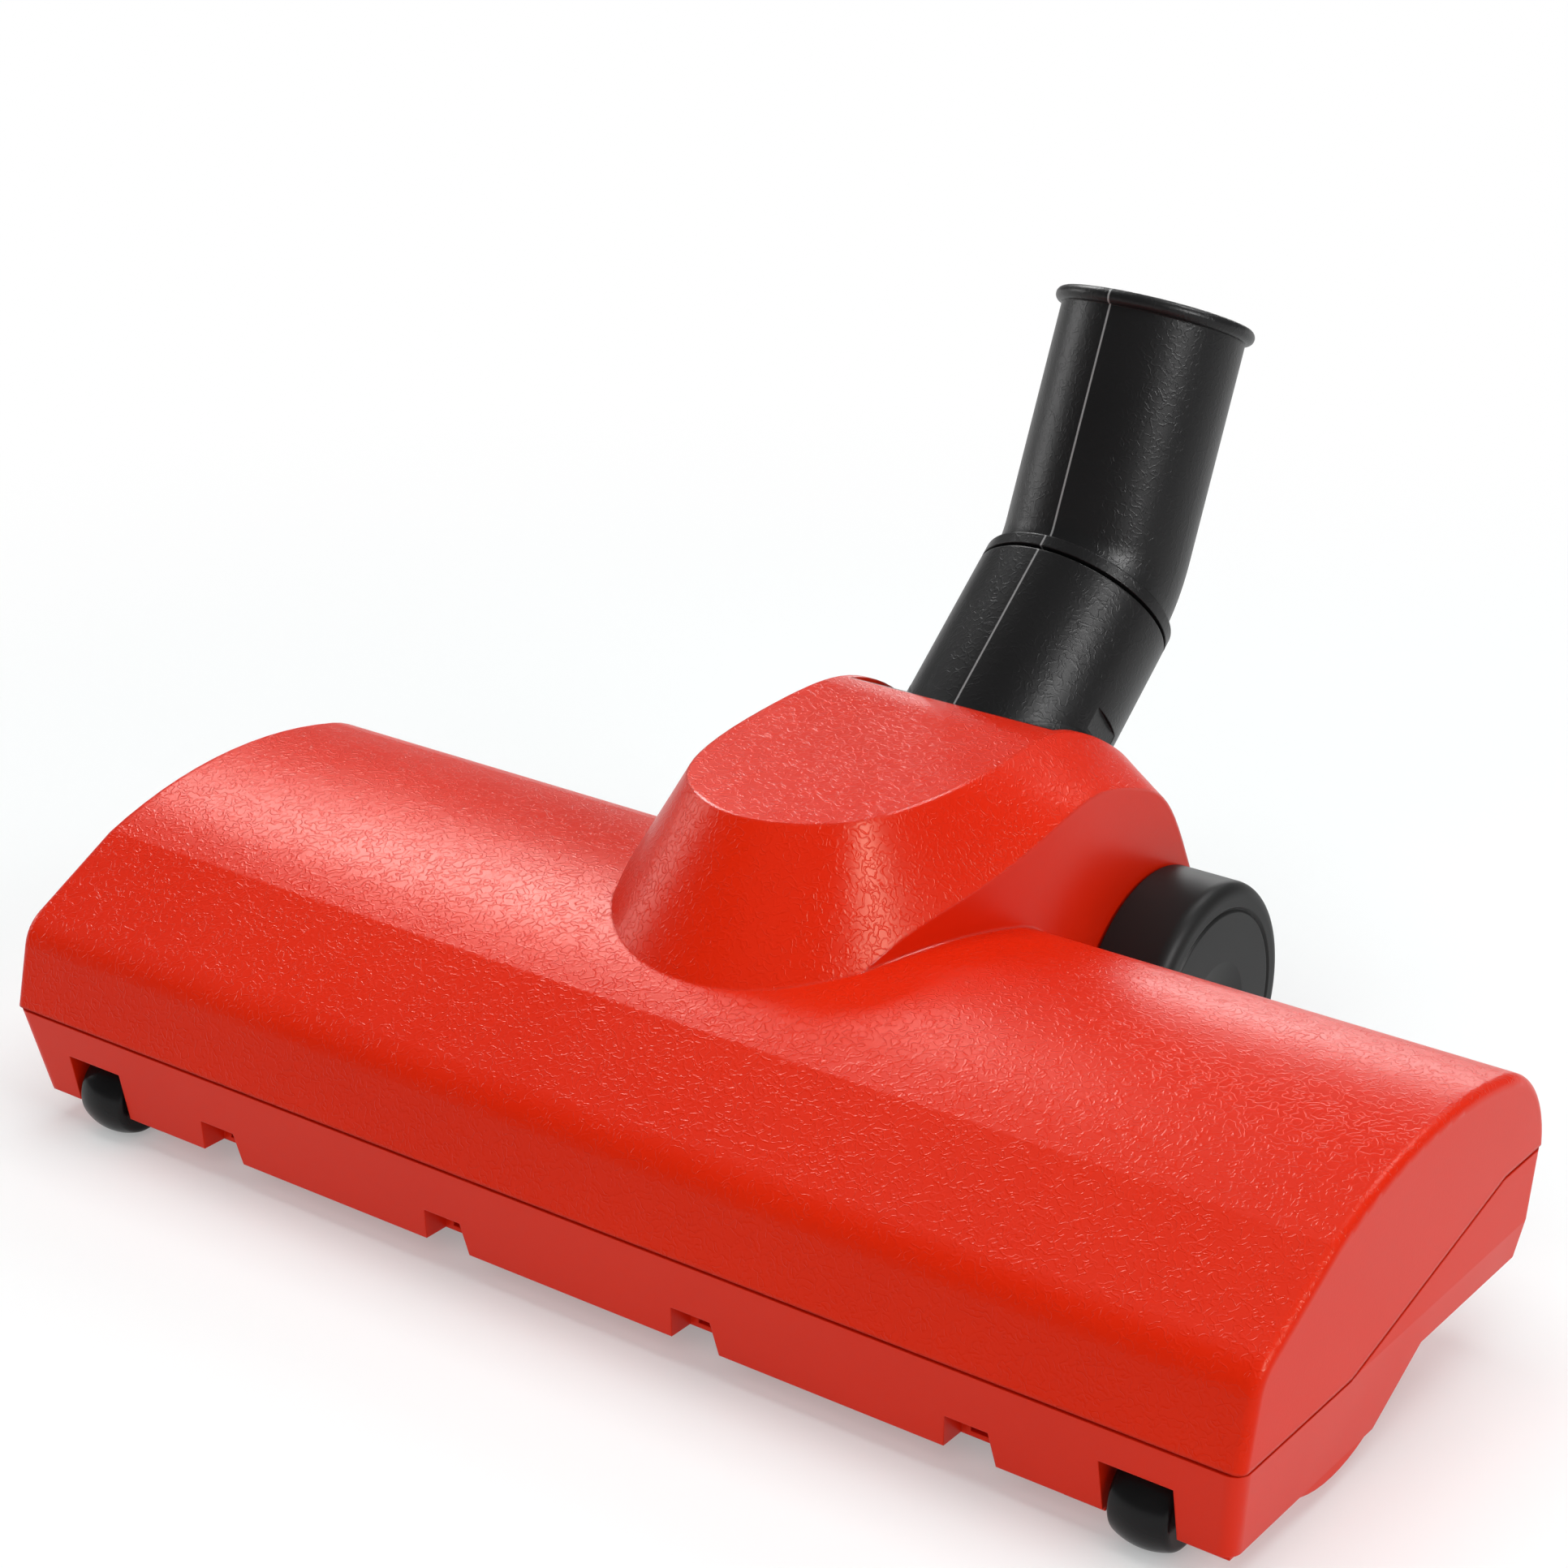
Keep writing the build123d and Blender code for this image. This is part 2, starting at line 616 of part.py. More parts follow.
with BuildPart() as base_housing:
    loft(
        [
            tray_section(sole_height, 0),
            tray_section(seam_front_height, 0),
            tray_section(seam_rear_height, 0),
        ],
        ruled=True,
    )
    seam_line = side_face(
        (-wall, sole_height),
        (ramp_start_back, sole_height),
        (ramp_end_back, rear_floor_height),
        (head_depth, rear_floor_height),
        (head_depth, seam_rear_height - seam_gap),
        (seam_rise_end_back, seam_rear_height - seam_gap),
        (seam_rise_start_back, seam_front_height - seam_gap),
        (-wall, seam_front_height - seam_gap),
    )
    extrude(seam_line, amount=half_length, both=True, mode=Mode.INTERSECT)
    add(tray_hollow.part, mode=Mode.SUBTRACT)

    # Lower half of the neck body
    dip = sqrt(flap_outer_radius**2 - (turbine_height - rear_floor_height) ** 2)
    with BuildSketch(Plane.YZ) as under_section:
        with BuildLine():
            belly = RadiusArc(
                (turbine_y - dip, rear_floor_height), (turbine_y, body_floor), -flap_outer_radius
            )
            Polyline(
                belly @ 1,
                (front + body_rear_back, body_floor),
                (front + body_rear_back, seam_rear_height),
                (front + body_front_back, seam_rear_height),
                (front + body_front_back, rear_floor_height),
                belly @ 0,
            )
        make_face()
        heel = under_section.vertices().sort_by_distance((front + body_rear_back, body_floor))[0]
        fillet(heel, body_rear_radius)
    extrude(under_section.sketch, amount=body_width / 2, both=True)
    add(body_spaces.part, mode=Mode.SUBTRACT)

    # Recess and opening that the flap closes
    recess = flap_section(flap_gap, 0)
    extrude(recess, amount=flap_width / 2 + flap_gap, both=True, mode=Mode.SUBTRACT)
    opening = about(0, flap_width - 2 * wall)
    block(opening, (flap_front_back + wall, flap_rear_back - wall), (0, turbine_height), mode=Mode.SUBTRACT)

    # Latch bar behind the flap, with a slot and a peg at each end
    latch_back = (flap_rear_back + flap_gap, flap_rear_back + flap_gap + latch_length)
    latch_heights = (body_floor - wall, body_floor + latch_depth)
    block(about(0, latch_width), latch_back, latch_heights, mode=Mode.SUBTRACT)
    slot_heights = (body_floor - wall, body_floor + latch_slot_depth)
    for side in (-1, 1):
        block(about(side * latch_slot_x, latch_slot_width), latch_back, slot_heights, mode=Mode.SUBTRACT)
        with BuildSketch(Plane.XZ.offset(-front - latch_back[0])) as peg:
            with Locations((side * peg_x, body_floor)):
                Circle(peg_radius)
        extrude(peg.sketch, amount=-latch_length)

    # Panel lines beside the flap and down the rear panel
    with BuildSketch(Plane.YZ) as curved_line:
        with Locations((turbine_y, turbine_height)):
            Circle(flap_outer_radius + wall)
            Circle(flap_outer_radius - panel_line_depth, mode=Mode.SUBTRACT)
            with Locations((-dip / 2, -turbine_height / 2)):
                Rectangle(dip, turbine_height, mode=Mode.INTERSECT)
    line_heights = (body_floor - wall, body_floor + panel_line_depth)
    for side in (-1, 1):
        line_start = side * panel_line_x - panel_line_width / 2
        line = Pos(line_start, 0, 0) * curved_line.sketch
        extrude(line, amount=panel_line_width, dir=(1, 0, 0), mode=Mode.SUBTRACT)
        for line_back in (
            (turbine_back, latch_back[0]),
            (latch_back[1], body_rear_back - body_rear_radius),
        ):
            line_range = about(side * panel_line_x, panel_line_width)
            block(line_range, line_back, line_heights, mode=Mode.SUBTRACT)

    # Bearing walls at the ends of the roller
    axle_brow = roller_height + bush_radius + 2 * wall
    shaft_brow = turbine_height + bush_radius + wall
    left_wall = side_face(
        (window_front_back - wall, sole_height),
        (window_front_back - wall, seam_front_height - wall),
        (roller_back - bush_radius - wall, axle_brow),
        (roller_back + bush_radius + wall, axle_brow),
        (ramp_start_back, seam_front_height),
        (ramp_start_back, sole_height),
        x=window_left - partition,
    )
    extrude(left_wall, amount=partition)
    right_wall = side_face(
        (window_front_back - wall, sole_height),
        (window_front_back - wall, seam_front_height - wall),
        (roller_back - bush_radius - wall, axle_brow),
        (roller_back + bush_radius + wall, axle_brow),
        (turbine_back - bush_radius - wall, shaft_brow),
        (turbine_back + bush_radius + wall, shaft_brow),
        (turbine_back + bush_radius + wall, rear_floor_height),
        (ramp_end_back, rear_floor_height),
        (ramp_start_back, sole_height),
        x=window_right,
    )
    extrude(right_wall, amount=partition)
    bush_hole = bush_radius + seat
    right_face = window_right + partition
    rod(window_left - partition, window_left, roller_y, roller_height, bush_hole, Mode.SUBTRACT)
    rod(window_right, right_face, roller_y, roller_height, bush_hole, Mode.SUBTRACT)
    rod(window_right, right_face, turbine_y, turbine_height, bush_hole, Mode.SUBTRACT)

    # Swollen undersides of the end blocks, below the roller's ends
    swell_y = roller_y + swell_shift
    for start, end in ((end_draft - half_length, window_left), (window_right, half_length - end_draft)):
        with BuildSketch(Plane.YZ.offset(start)) as swell:
            with BuildLine():
                chord = Line(
                    (swell_y - swell_chord / 2, sole_height), (swell_y + swell_chord / 2, sole_height)
                )
                ThreePointArc(chord @ 0, (swell_y, sole_height - swell_depth), chord @ 1)
            make_face()
        extrude(swell.sketch, amount=end - start)

    # Raised pads round the casters, with a slanted outer corner
    pad_outer_x = half_length - end_draft - caster_pad_margin
    pad_inner_x = caster_block_inner_x + caster_pad_margin
    for side in (-1, 1):
        with BuildSketch(Plane.XY.offset(sole_height - caster_pad)) as pad:
            near = front + front_draft + caster_pad_margin
            far = front + caster_block_back
            with Locations((side * (pad_inner_x + pad_outer_x) / 2, (near + far) / 2)):
                Rectangle(pad_outer_x - pad_inner_x, far - near)
            corner = pad.vertices().sort_by_distance((side * pad_outer_x, far))[0]
            chamfer(corner, caster_pad_corner)
        extrude(pad.sketch, amount=caster_pad)

    # Roller window, stepped round the caster blocks
    with BuildSketch() as window:
        window_y = front + (window_front_back + window_rear_back) / 2
        with Locations(((window_left + window_right) / 2, window_y)):
            Rectangle(window_right - window_left, window_rear_back - window_front_back)
        step_depth = caster_block_back - window_front_back
        step_y = front + window_front_back + step_depth / 2
        for edge in (window_left, window_right):
            inner = caster_block_inner_x if edge > 0 else -caster_block_inner_x
            with Locations(((edge + inner) / 2, step_y)):
                Rectangle(abs(edge - inner), step_depth, mode=Mode.SUBTRACT)
    extrude(window.sketch, amount=sole_height + wall, mode=Mode.SUBTRACT)

    # Caster pockets and the slots for their pins
    pocket_back = caster_back + caster_radius + part_gap
    pocket_roof = caster_radius * 2 + part_gap
    slot_back = about(caster_back, 2 * (caster_pin_radius + seat))
    slot_roof = caster_radius + caster_pin_radius + seat
    for side in (-1, 1):
        pocket = about(side * caster_x, caster_pocket_width)
        block(pocket, (-wall, pocket_back), (0, pocket_roof), mode=Mode.SUBTRACT)
        slot = about(side * caster_x, caster_pin_length + 2 * seat)
        block(slot, slot_back, (0, slot_roof), mode=Mode.SUBTRACT)

    # Air notches in the front edge
    notch_depth = window_front_back - notch_back_wall
    port_width = notch_top_width - 2 * notch_lip
    port_height = notch_height - 2 * notch_lip
    with BuildSketch(Plane.XZ.offset(-front + wall)) as notches:
        for place in notch_places:
            with BuildLine():
                Polyline(
                    (place - notch_width / 2, sole_height - wall),
                    (place - notch_width / 2, sole_height),
                    (place - notch_top_width / 2, sole_height + notch_height),
                    (place + notch_top_width / 2, sole_height + notch_height),
                    (place + notch_width / 2, sole_height),
                    (place + notch_width / 2, sole_height - wall),
                    close=True,
                )
            make_face()
    extrude(notches.sketch, amount=-notch_depth - wall, mode=Mode.SUBTRACT)
    with BuildSketch(Plane.XZ.offset(-front)) as ports:
        with Locations(*[(place, sole_height + notch_height / 2) for place in notch_places]):
            Rectangle(port_width, port_height)
    extrude(ports.sketch, amount=-window_front_back - wall, mode=Mode.SUBTRACT)

    # Rails for the sealing strip with tabs that hold it, and the ribs across their ends
    rail_heights = (rail_bottom, rear_floor_height + wall / 2)
    block(about(0, 2 * end_rib_x), about(front_rail_back, rail_width), rail_heights)
    block(about(0, 2 * end_rib_x), about(rear_rail_back, rail_width), rail_heights)
    tab_reach = (rail_gap - strip_width) / 2 - part_gap
    with BuildSketch(Plane.XY.offset(rail_bottom)) as tabs:
        for tab_back in (front_rail_back + tab_reach / 2, rear_rail_back - tab_reach / 2):
            with Locations(*[(place, front + tab_back) for place in tab_places]):
                Rectangle(rail_tab_width, tab_reach)
    extrude(tabs.sketch, amount=rail_tab)
    rib_heights = (end_rib_bottom, rear_floor_height + wall / 2)
    for side in (-1, 1):
        block(about(side * end_rib_x, rail_width), about(strip_middle_back, end_rib_length), rib_heights)
        hole_back = about((ramp_start_back + ramp_end_back) / 2, ramp_hole_depth)
        hole = about(side * ramp_hole_x, ramp_hole_width)
        block(hole, hole_back, (sole_height, rear_floor_height + wall), mode=Mode.SUBTRACT)

    # Screw wells
    clear_radius = screw_shank_radius + part_gap
    for side in (-1, 1):
        x = side * screw_x
        post(x, screw_back, rear_floor_height, boss_foot_height, well_radius + well_wall)
        post(x, screw_back, 0, well_roof_height, well_radius, Mode.SUBTRACT)
        post(x, screw_back, 0, boss_foot_height, clear_radius, Mode.SUBTRACT)
        x = side * neck_screw_x
        post(x, neck_screw_back, 0, neck_well_roof_height, well_radius, Mode.SUBTRACT)
        post(x, neck_screw_back, 0, seam_rear_height, clear_radius, Mode.SUBTRACT)

    # Axle hole and the knuckles of the flap hinge
    rod(-body_width / 2, body_width / 2, wheel_y, wheel_radius, wheel_axle_radius + seat, Mode.SUBTRACT)
    hinge_y = front + flap_hinge_back
    pin_hole = flap_pin_radius + running
    for side in (-1, 1):
        knuckle_start = side * (flap_width / 2 + flap_gap + part_gap)
        knuckle_end = knuckle_start + side * flap_knuckle_width
        rod(knuckle_start, knuckle_end, hinge_y, flap_hinge_height, flap_knuckle_radius)
        web = sorted((knuckle_start, knuckle_end))
        web_back = about(flap_hinge_back, 2 * flap_knuckle_radius)
        block(web, web_back, (flap_hinge_height, rear_floor_height + wall / 2))
        rod(knuckle_start, knuckle_end, hinge_y, flap_hinge_height, pin_hole, Mode.SUBTRACT)

with BuildPart() as housing_screws:
    for side in (-1, 1):
        for x, back, roof in (
            (side * screw_x, screw_back, well_roof_height),
            (side * neck_screw_x, neck_screw_back, neck_well_roof_height),
        ):
            post(x, back, roof - screw_head, roof, screw_head_radius)
            post(x, back, roof, roof + screw_grip, screw_shank_radius)
            post(x, back, roof - screw_head, roof - screw_head / 2, screw_recess_radius, Mode.SUBTRACT)

with BuildPart() as sealing_strip:
    strip_span = about(0, 2 * end_rib_x - rail_width)
    block(strip_span, about(strip_middle_back, strip_width), (strip_bottom, rear_floor_height))

# Arched hood between the roller and the inside of the housing
with BuildPart() as roller_hood:
    with BuildSketch(Plane.YZ.offset(window_left + part_gap)) as arch:
        with Locations((roller_y, roller_height)):
            Circle(hood_radius)
            with Locations((0, -hood_radius)):
                Rectangle(2 * hood_radius, 2 * hood_radius)
            Circle(bristle_chamber, mode=Mode.SUBTRACT)
            with Locations((0, -hood_radius)):
                Rectangle(2 * bristle_chamber, 2 * hood_radius, mode=Mode.SUBTRACT)
    extrude(arch.sketch, amount=window_right - window_left - 2 * part_gap)
    floor_line = side_face(
        (0, -head_depth),
        (0, sole_height + wall),
        (ramp_start_back, sole_height + wall),
        (ramp_end_back, rear_floor_height + wall),
        (ramp_end_back, -head_depth),
    )
    extrude(floor_line, amount=half_length, both=True, mode=Mode.SUBTRACT)
    for side in (-1, 1):
        corner = sorted((side * (caster_block_inner_x - part_gap), side * half_length))
        block(corner, (0, roller_back), (0, caster_block_height + part_gap), mode=Mode.SUBTRACT)
    slot_heights = (roller_height, roller_height + hood_slot_height)
    block(about(0, hood_slot_width), (roller_back, head_depth), slot_heights, mode=Mode.SUBTRACT)
    for place in notch_places:
        port = about(place, notch_width + 2 * (wall + part_gap))
        block(port, (0, roller_back), (0, notch_roof + part_gap), mode=Mode.SUBTRACT)

bore_radius = roller_tube_radius - roller_tube_wall
with BuildPart() as roller_tube:
    rod(roller_left, roller_right, roller_y, roller_height, roller_tube_radius)
    rod(roller_left, roller_right, roller_y, roller_height, bore_radius, Mode.SUBTRACT)

# Two rows of tufts that wind round the tube and flare to their tips
with BuildPart() as roller_bristles:
    tufts = []
    tufts_per_row = int(tuft_span / tuft_pitch) + 1
    for row in (0, 180):
        for step in range(tufts_per_row):
            x = (step - (tufts_per_row - 1) / 2) * tuft_pitch
            turn = radians(tuft_twist * (x - tuft_zero_x) + row)
            outward = (0, sin(turn), -cos(turn))
            root = Plane(origin=(x, roller_y, roller_height), x_dir=(1, 0, 0), z_dir=outward)
            with BuildSketch(root.offset(roller_tube_radius)) as foot:
                RegularPolygon(tuft_root_radius, tuft_sides)
            with BuildSketch(root.offset(tuft_reach)) as tip:
                RegularPolygon(tuft_tip_radius, tuft_sides)
            tufts.append(loft([foot.sketch, tip.sketch], ruled=True, mode=Mode.PRIVATE))
    add(tufts)

with BuildPart() as roller_plug_left:
    axle_end = window_left - partition - axle_overrun
    rod(roller_left, roller_left + plug_depth, roller_y, roller_height, bore_radius - seat)
    rod(roller_left, roller_left - roller_flange, roller_y, roller_height, roller_flange_radius)
    rod(roller_left, axle_end, roller_y, roller_height, roller_axle_radius)

with BuildPart() as roller_plug_right:
    axle_end = pulley_x + pulley_width + axle_overrun
    rod(roller_right, roller_right - plug_depth, roller_y, roller_height, bore_radius - seat)
    rod(roller_right, roller_right + roller_flange, roller_y, roller_height, roller_flange_radius)
    rod(roller_right, axle_end, roller_y, roller_height, roller_axle_radius)


def bush(start, end, y, height, bore):
    """Plain bearing bush along the head."""
    rod(start, end, y, height, bush_radius)
    rod(start, end, y, height, bore, Mode.SUBTRACT)


with BuildPart() as roller_bush_left:
    inner = roller_left - roller_flange - part_gap
    bush(inner, window_left - partition, roller_y, roller_height, roller_axle_bore)

with BuildPart() as roller_bush_right:
    inner = roller_right + roller_flange + part_gap
    bush(inner, window_right + partition, roller_y, roller_height, roller_axle_bore)

with BuildPart() as shaft_bush_left:
    inner = -chamber_width / 2 - wall
    bush(inner, inner - bush_length, turbine_y, turbine_height, turbine_shaft_radius + running)

with BuildPart() as shaft_bush_right:
    inner = chamber_width / 2 + wall
    bush(inner, inner + bush_length, turbine_y, turbine_height, turbine_shaft_radius + running)

with BuildPart() as shaft_bush_outer:
    inner = window_right + partition - bush_length
    bush(inner, window_right + partition, turbine_y, turbine_height, turbine_shaft_radius + running)


def pulley(y, height, radius, bore):
    """Flanged belt pulley in the drive compartment."""
    rod(pulley_x, pulley_x + pulley_width, y, height, radius)
    rod(pulley_x, pulley_x + pulley_flange, y, height, radius + pulley_flange_height)
    rim = pulley_x + pulley_width - pulley_flange
    rod(rim, rim + pulley_flange, y, height, radius + pulley_flange_height)
    rod(pulley_x, pulley_x + pulley_width, y, height, bore, Mode.SUBTRACT)


with BuildPart() as roller_pulley:
    pulley(roller_y, roller_height, roller_pulley_radius, roller_axle_radius)

with BuildPart() as drive_pinion:
    pulley(turbine_y, turbine_height, pinion_radius, turbine_shaft_radius)

with BuildPart() as drive_belt:
    belt_x = pulley_x + (pulley_width - belt_width) / 2
    loops = []
    for lift in (belt_clearance + belt_thickness, belt_clearance):
        with BuildSketch(Plane.YZ.offset(belt_x)) as loop:
            with Locations((roller_y, roller_height)):
                Circle(roller_pulley_radius + lift)
            with Locations((turbine_y, turbine_height)):
                Circle(pinion_radius + lift)
            make_hull()
        loops.append(loop.sketch)
    extrude(loops[0], amount=belt_width)
    extrude(loops[1], amount=belt_width, mode=Mode.SUBTRACT)

with BuildPart() as turbine_shaft:
    shaft_start = -chamber_width / 2 - wall - bush_length
    rod(shaft_start, pulley_x + pulley_width, turbine_y, turbine_height, turbine_shaft_radius)

# Twelve curved blades between three discs on a hub
blade_tip = (turbine_radius - blade_thickness, blade_lean)
blade_line = RadiusArc((turbine_hub_radius, 0), blade_tip, -blade_curve)
with BuildPart() as turbine_rotor:
    rod(-turbine_width / 2, turbine_width / 2, turbine_y, turbine_height, turbine_hub_radius)
    with BuildSketch(Plane.YZ.offset(-turbine_width / 2)) as blades:
        with Locations((turbine_y, turbine_height)):
            with PolarLocations(0, blade_count):
                SlotArc(blade_line, blade_thickness)
    extrude(blades.sketch, amount=turbine_width)
    for start in (-turbine_width / 2, -turbine_disc / 2, turbine_width / 2 - turbine_disc):
        rod(start, start + turbine_disc, turbine_y, turbine_height, turbine_radius)
    shaft_range = (-turbine_width / 2, turbine_width / 2)
    rod(*shaft_range, turbine_y, turbine_height, turbine_shaft_radius, Mode.SUBTRACT)

with BuildPart() as turbine_flap:
    extrude(flap_section(0, 0), amount=flap_width / 2, both=True)
    arm_back = (flap_hinge_back, flap_front_back + 2 * wall)
    arm_bottom = flap_hinge_height - flap_knuckle_radius
    for side in (-1, 1):
        arm = sorted((side * flap_width / 2, side * (flap_width / 2 - flap_arm_width)))
        rod(*arm, hinge_y, flap_hinge_height, flap_knuckle_radius)
        block(arm, arm_back, (arm_bottom, arm_bottom + flap_arm_height))
    pin_end = flap_width / 2 + flap_gap + part_gap + flap_knuckle_width + flap_pin_overrun
    rod(-pin_end, pin_end, hinge_y, flap_hinge_height, flap_pin_radius)

# Neck: a sleeve that tilts on its barrel, and a bent tube that swivels in the sleeve
pivot = Vector(0, pivot_y, pivot_height)
sleeve_axis = Vector(0, cos(neck_tilt), sin(neck_tilt))
tube_axis = Vector(0, cos(tube_tilt), sin(tube_tilt))
sleeve_plane = Plane(origin=pivot, x_dir=(1, 0, 0), z_dir=sleeve_axis)
bend_corner = pivot + sleeve_axis * (sleeve_reach + corner_reach)
mouth = bend_corner + tube_axis * (bend_tangent + tube_length)
mouth_plane = Plane(origin=mouth, x_dir=(1, 0, 0), z_dir=tube_axis)
sleeve_bore_radius = sleeve_radius - sleeve_wall
spigot_radius = sleeve_bore_radius - running

with BuildPart() as neck_sleeve:
    rod(-barrel_width / 2, barrel_width / 2, pivot_y, pivot_height, barrel_radius)
    with BuildSketch(sleeve_plane) as outside:
        Circle(sleeve_radius)
    extrude(amount=sleeve_reach)
    barrel_inside = barrel_width / 2 - wall
    rod(-barrel_inside, barrel_inside, pivot_y, pivot_height, barrel_radius - wall, Mode.SUBTRACT)
    with BuildSketch(sleeve_plane) as inside:
        Circle(sleeve_bore_radius)
    extrude(amount=sleeve_reach, mode=Mode.SUBTRACT)
    with BuildSketch(sleeve_plane.offset(-wall)) as intake:
        Rectangle(barrel_width - 2 * wall, 2 * barrel_radius)
    extrude(amount=-barrel_radius, mode=Mode.SUBTRACT)
    with BuildSketch(sleeve_plane.offset(sleeve_reach - spigot_length)) as groove:
        Circle(sleeve_bore_radius + clip_room / 2)
    extrude(amount=clip_room, mode=Mode.SUBTRACT)
    for side in (-1, 1):
        trunnion_end = side * (barrel_width / 2 + trunnion_length)
        rod(side * barrel_inside, trunnion_end, pivot_y, pivot_height, trunnion_radius)

swivel_foot = sleeve_reach + swivel_gap
clip_foot = sleeve_reach - spigot_length + clip_room / 4
with BuildPart() as neck_tube:
    with BuildLine() as route:
        FilletPolyline(pivot + sleeve_axis * swivel_foot, bend_corner, mouth, radius=bend_radius)
    with BuildSketch(sleeve_plane.offset(swivel_foot)) as outside:
        Circle(tube_radius)
    sweep(path=route.line)
    with BuildSketch(sleeve_plane.offset(swivel_foot)) as bead:
        Circle(sleeve_radius)
    extrude(amount=swivel_bead)
    with BuildSketch(sleeve_plane.offset(sleeve_reach - spigot_length)) as spigot:
        Circle(spigot_radius)
    extrude(amount=spigot_length + swivel_gap)
    with Locations(mouth_plane.offset(-rim_bead_radius)):
        Torus(tube_radius, rim_bead_radius)
    with BuildSketch(sleeve_plane.offset(swivel_foot)) as passage:
        Circle(socket_radius)
    sweep(path=route.line, mode=Mode.SUBTRACT)
    with BuildSketch(sleeve_plane.offset(sleeve_reach - spigot_length)) as inlet:
        Circle(socket_radius)
    extrude(amount=spigot_length + swivel_gap, mode=Mode.SUBTRACT)
    with BuildSketch(sleeve_plane.offset(clip_foot)) as clip_groove:
        Circle(spigot_radius)
        Circle(spigot_radius - clip_room / 4, mode=Mode.SUBTRACT)
    extrude(amount=clip_room / 2, mode=Mode.SUBTRACT)

with BuildPart() as swivel_clip:
    with BuildSketch(sleeve_plane.offset(clip_foot)) as ring:
        Circle(spigot_radius + clip_room / 4)
        Circle(spigot_radius - clip_room / 4, mode=Mode.SUBTRACT)
        with Locations((0, -spigot_radius)):
            Rectangle(clip_room * 2, spigot_radius, mode=Mode.SUBTRACT)
    extrude(amount=clip_room / 2)

with BuildPart() as rear_axle:
    axle_end = wheel_outer_x - wheel_face
    rod(-axle_end, axle_end, wheel_y, wheel_radius, wheel_axle_radius)

# Wheels turned as cups: a hub boss and a rim inside, a ring groove and a shallow dimple outside
wheels = []
for side in (-1, 1):
    with BuildPart() as wheel:
        bore = wheel_axle_radius + running
        bore_end = wheel_outer_x - wheel_face + running
        cup_floor = wheel_inner_x + wheel_hollow
        cup_radius = wheel_radius - wheel_rim
        groove_floor = wheel_outer_x - wheel_groove
        cup_points = [
            (wheel_outer_x, 0),
            (bore_end, 0),
            (bore_end, bore),
            (wheel_inner_x, bore),
            (wheel_inner_x, wheel_boss_radius),
            (cup_floor, wheel_boss_radius),
            (cup_floor, cup_radius),
            (wheel_inner_x, cup_radius),
            (wheel_inner_x, wheel_radius),
            (wheel_outer_x, wheel_radius),
            (wheel_outer_x, wheel_ring_radius + wheel_groove),
            (groove_floor, wheel_ring_radius),
            (wheel_outer_x, wheel_ring_radius - wheel_groove),
        ]
        with BuildSketch(Plane.XY.offset(wheel_radius)) as section:
            with BuildLine():
                Polyline(*[(side * x, wheel_y + r) for x, r in cup_points], close=True)
            make_face()
            tread = section.vertices().group_by(Axis.Y)[-1].sort_by(Axis.X)
            outer_corner = tread[-1] if side > 0 else tread[0]
            inner_corner = tread[0] if side > 0 else tread[-1]
            fillet(outer_corner, wheel_edge_radius)
            fillet(inner_corner, wheel_edge_radius / 2)
        revolve(axis=Axis((0, wheel_y, wheel_radius), (1, 0, 0)))
        ball_radius = (wheel_dimple_radius**2 + wheel_dimple**2) / (2 * wheel_dimple)
        with Locations((side * (wheel_outer_x - wheel_dimple + ball_radius), wheel_y, wheel_radius)):
            Sphere(ball_radius, mode=Mode.SUBTRACT)
    wheels.append(wheel)
wheel_left, wheel_right = wheels

washers = []
for side in (-1, 1):
    with BuildPart() as washer:
        start = side * (body_width / 2 + running)
        end = start + side * wheel_washer
        rod(start, end, wheel_y, wheel_radius, wheel_washer_radius)
        rod(start, end, wheel_y, wheel_radius, wheel_axle_radius + seat, Mode.SUBTRACT)
    washers.append(washer)
wheel_washer_left, wheel_washer_right = washers

casters = []
pins = []
caster_y = front + caster_back
for side in (-1, 1):
    with BuildPart() as caster:
        near, far = about(side * caster_x, caster_width)
        shoulder_y = caster_y + caster_radius - caster_crown
        bore_y = caster_y + caster_pin_radius + running
        with BuildSketch(Plane.XY.offset(caster_radius)) as section:
            with BuildLine():
                crown = ThreePointArc(
                    (near, shoulder_y), (side * caster_x, caster_y + caster_radius), (far, shoulder_y)
                )
                Polyline(crown @ 1, (far, bore_y), (near, bore_y), crown @ 0)
            make_face()
            shoulders = section.vertices().group_by(Axis.Y)[1]
            fillet(shoulders, caster_crown)
        revolve(axis=Axis((0, caster_y, caster_radius), (1, 0, 0)))
    casters.append(caster)
    with BuildPart() as pin:
        rod(*about(side * caster_x, caster_pin_length), caster_y, caster_radius, caster_pin_radius)
    pins.append(pin)
caster_left, caster_right = casters
caster_pin_left, caster_pin_right = pins

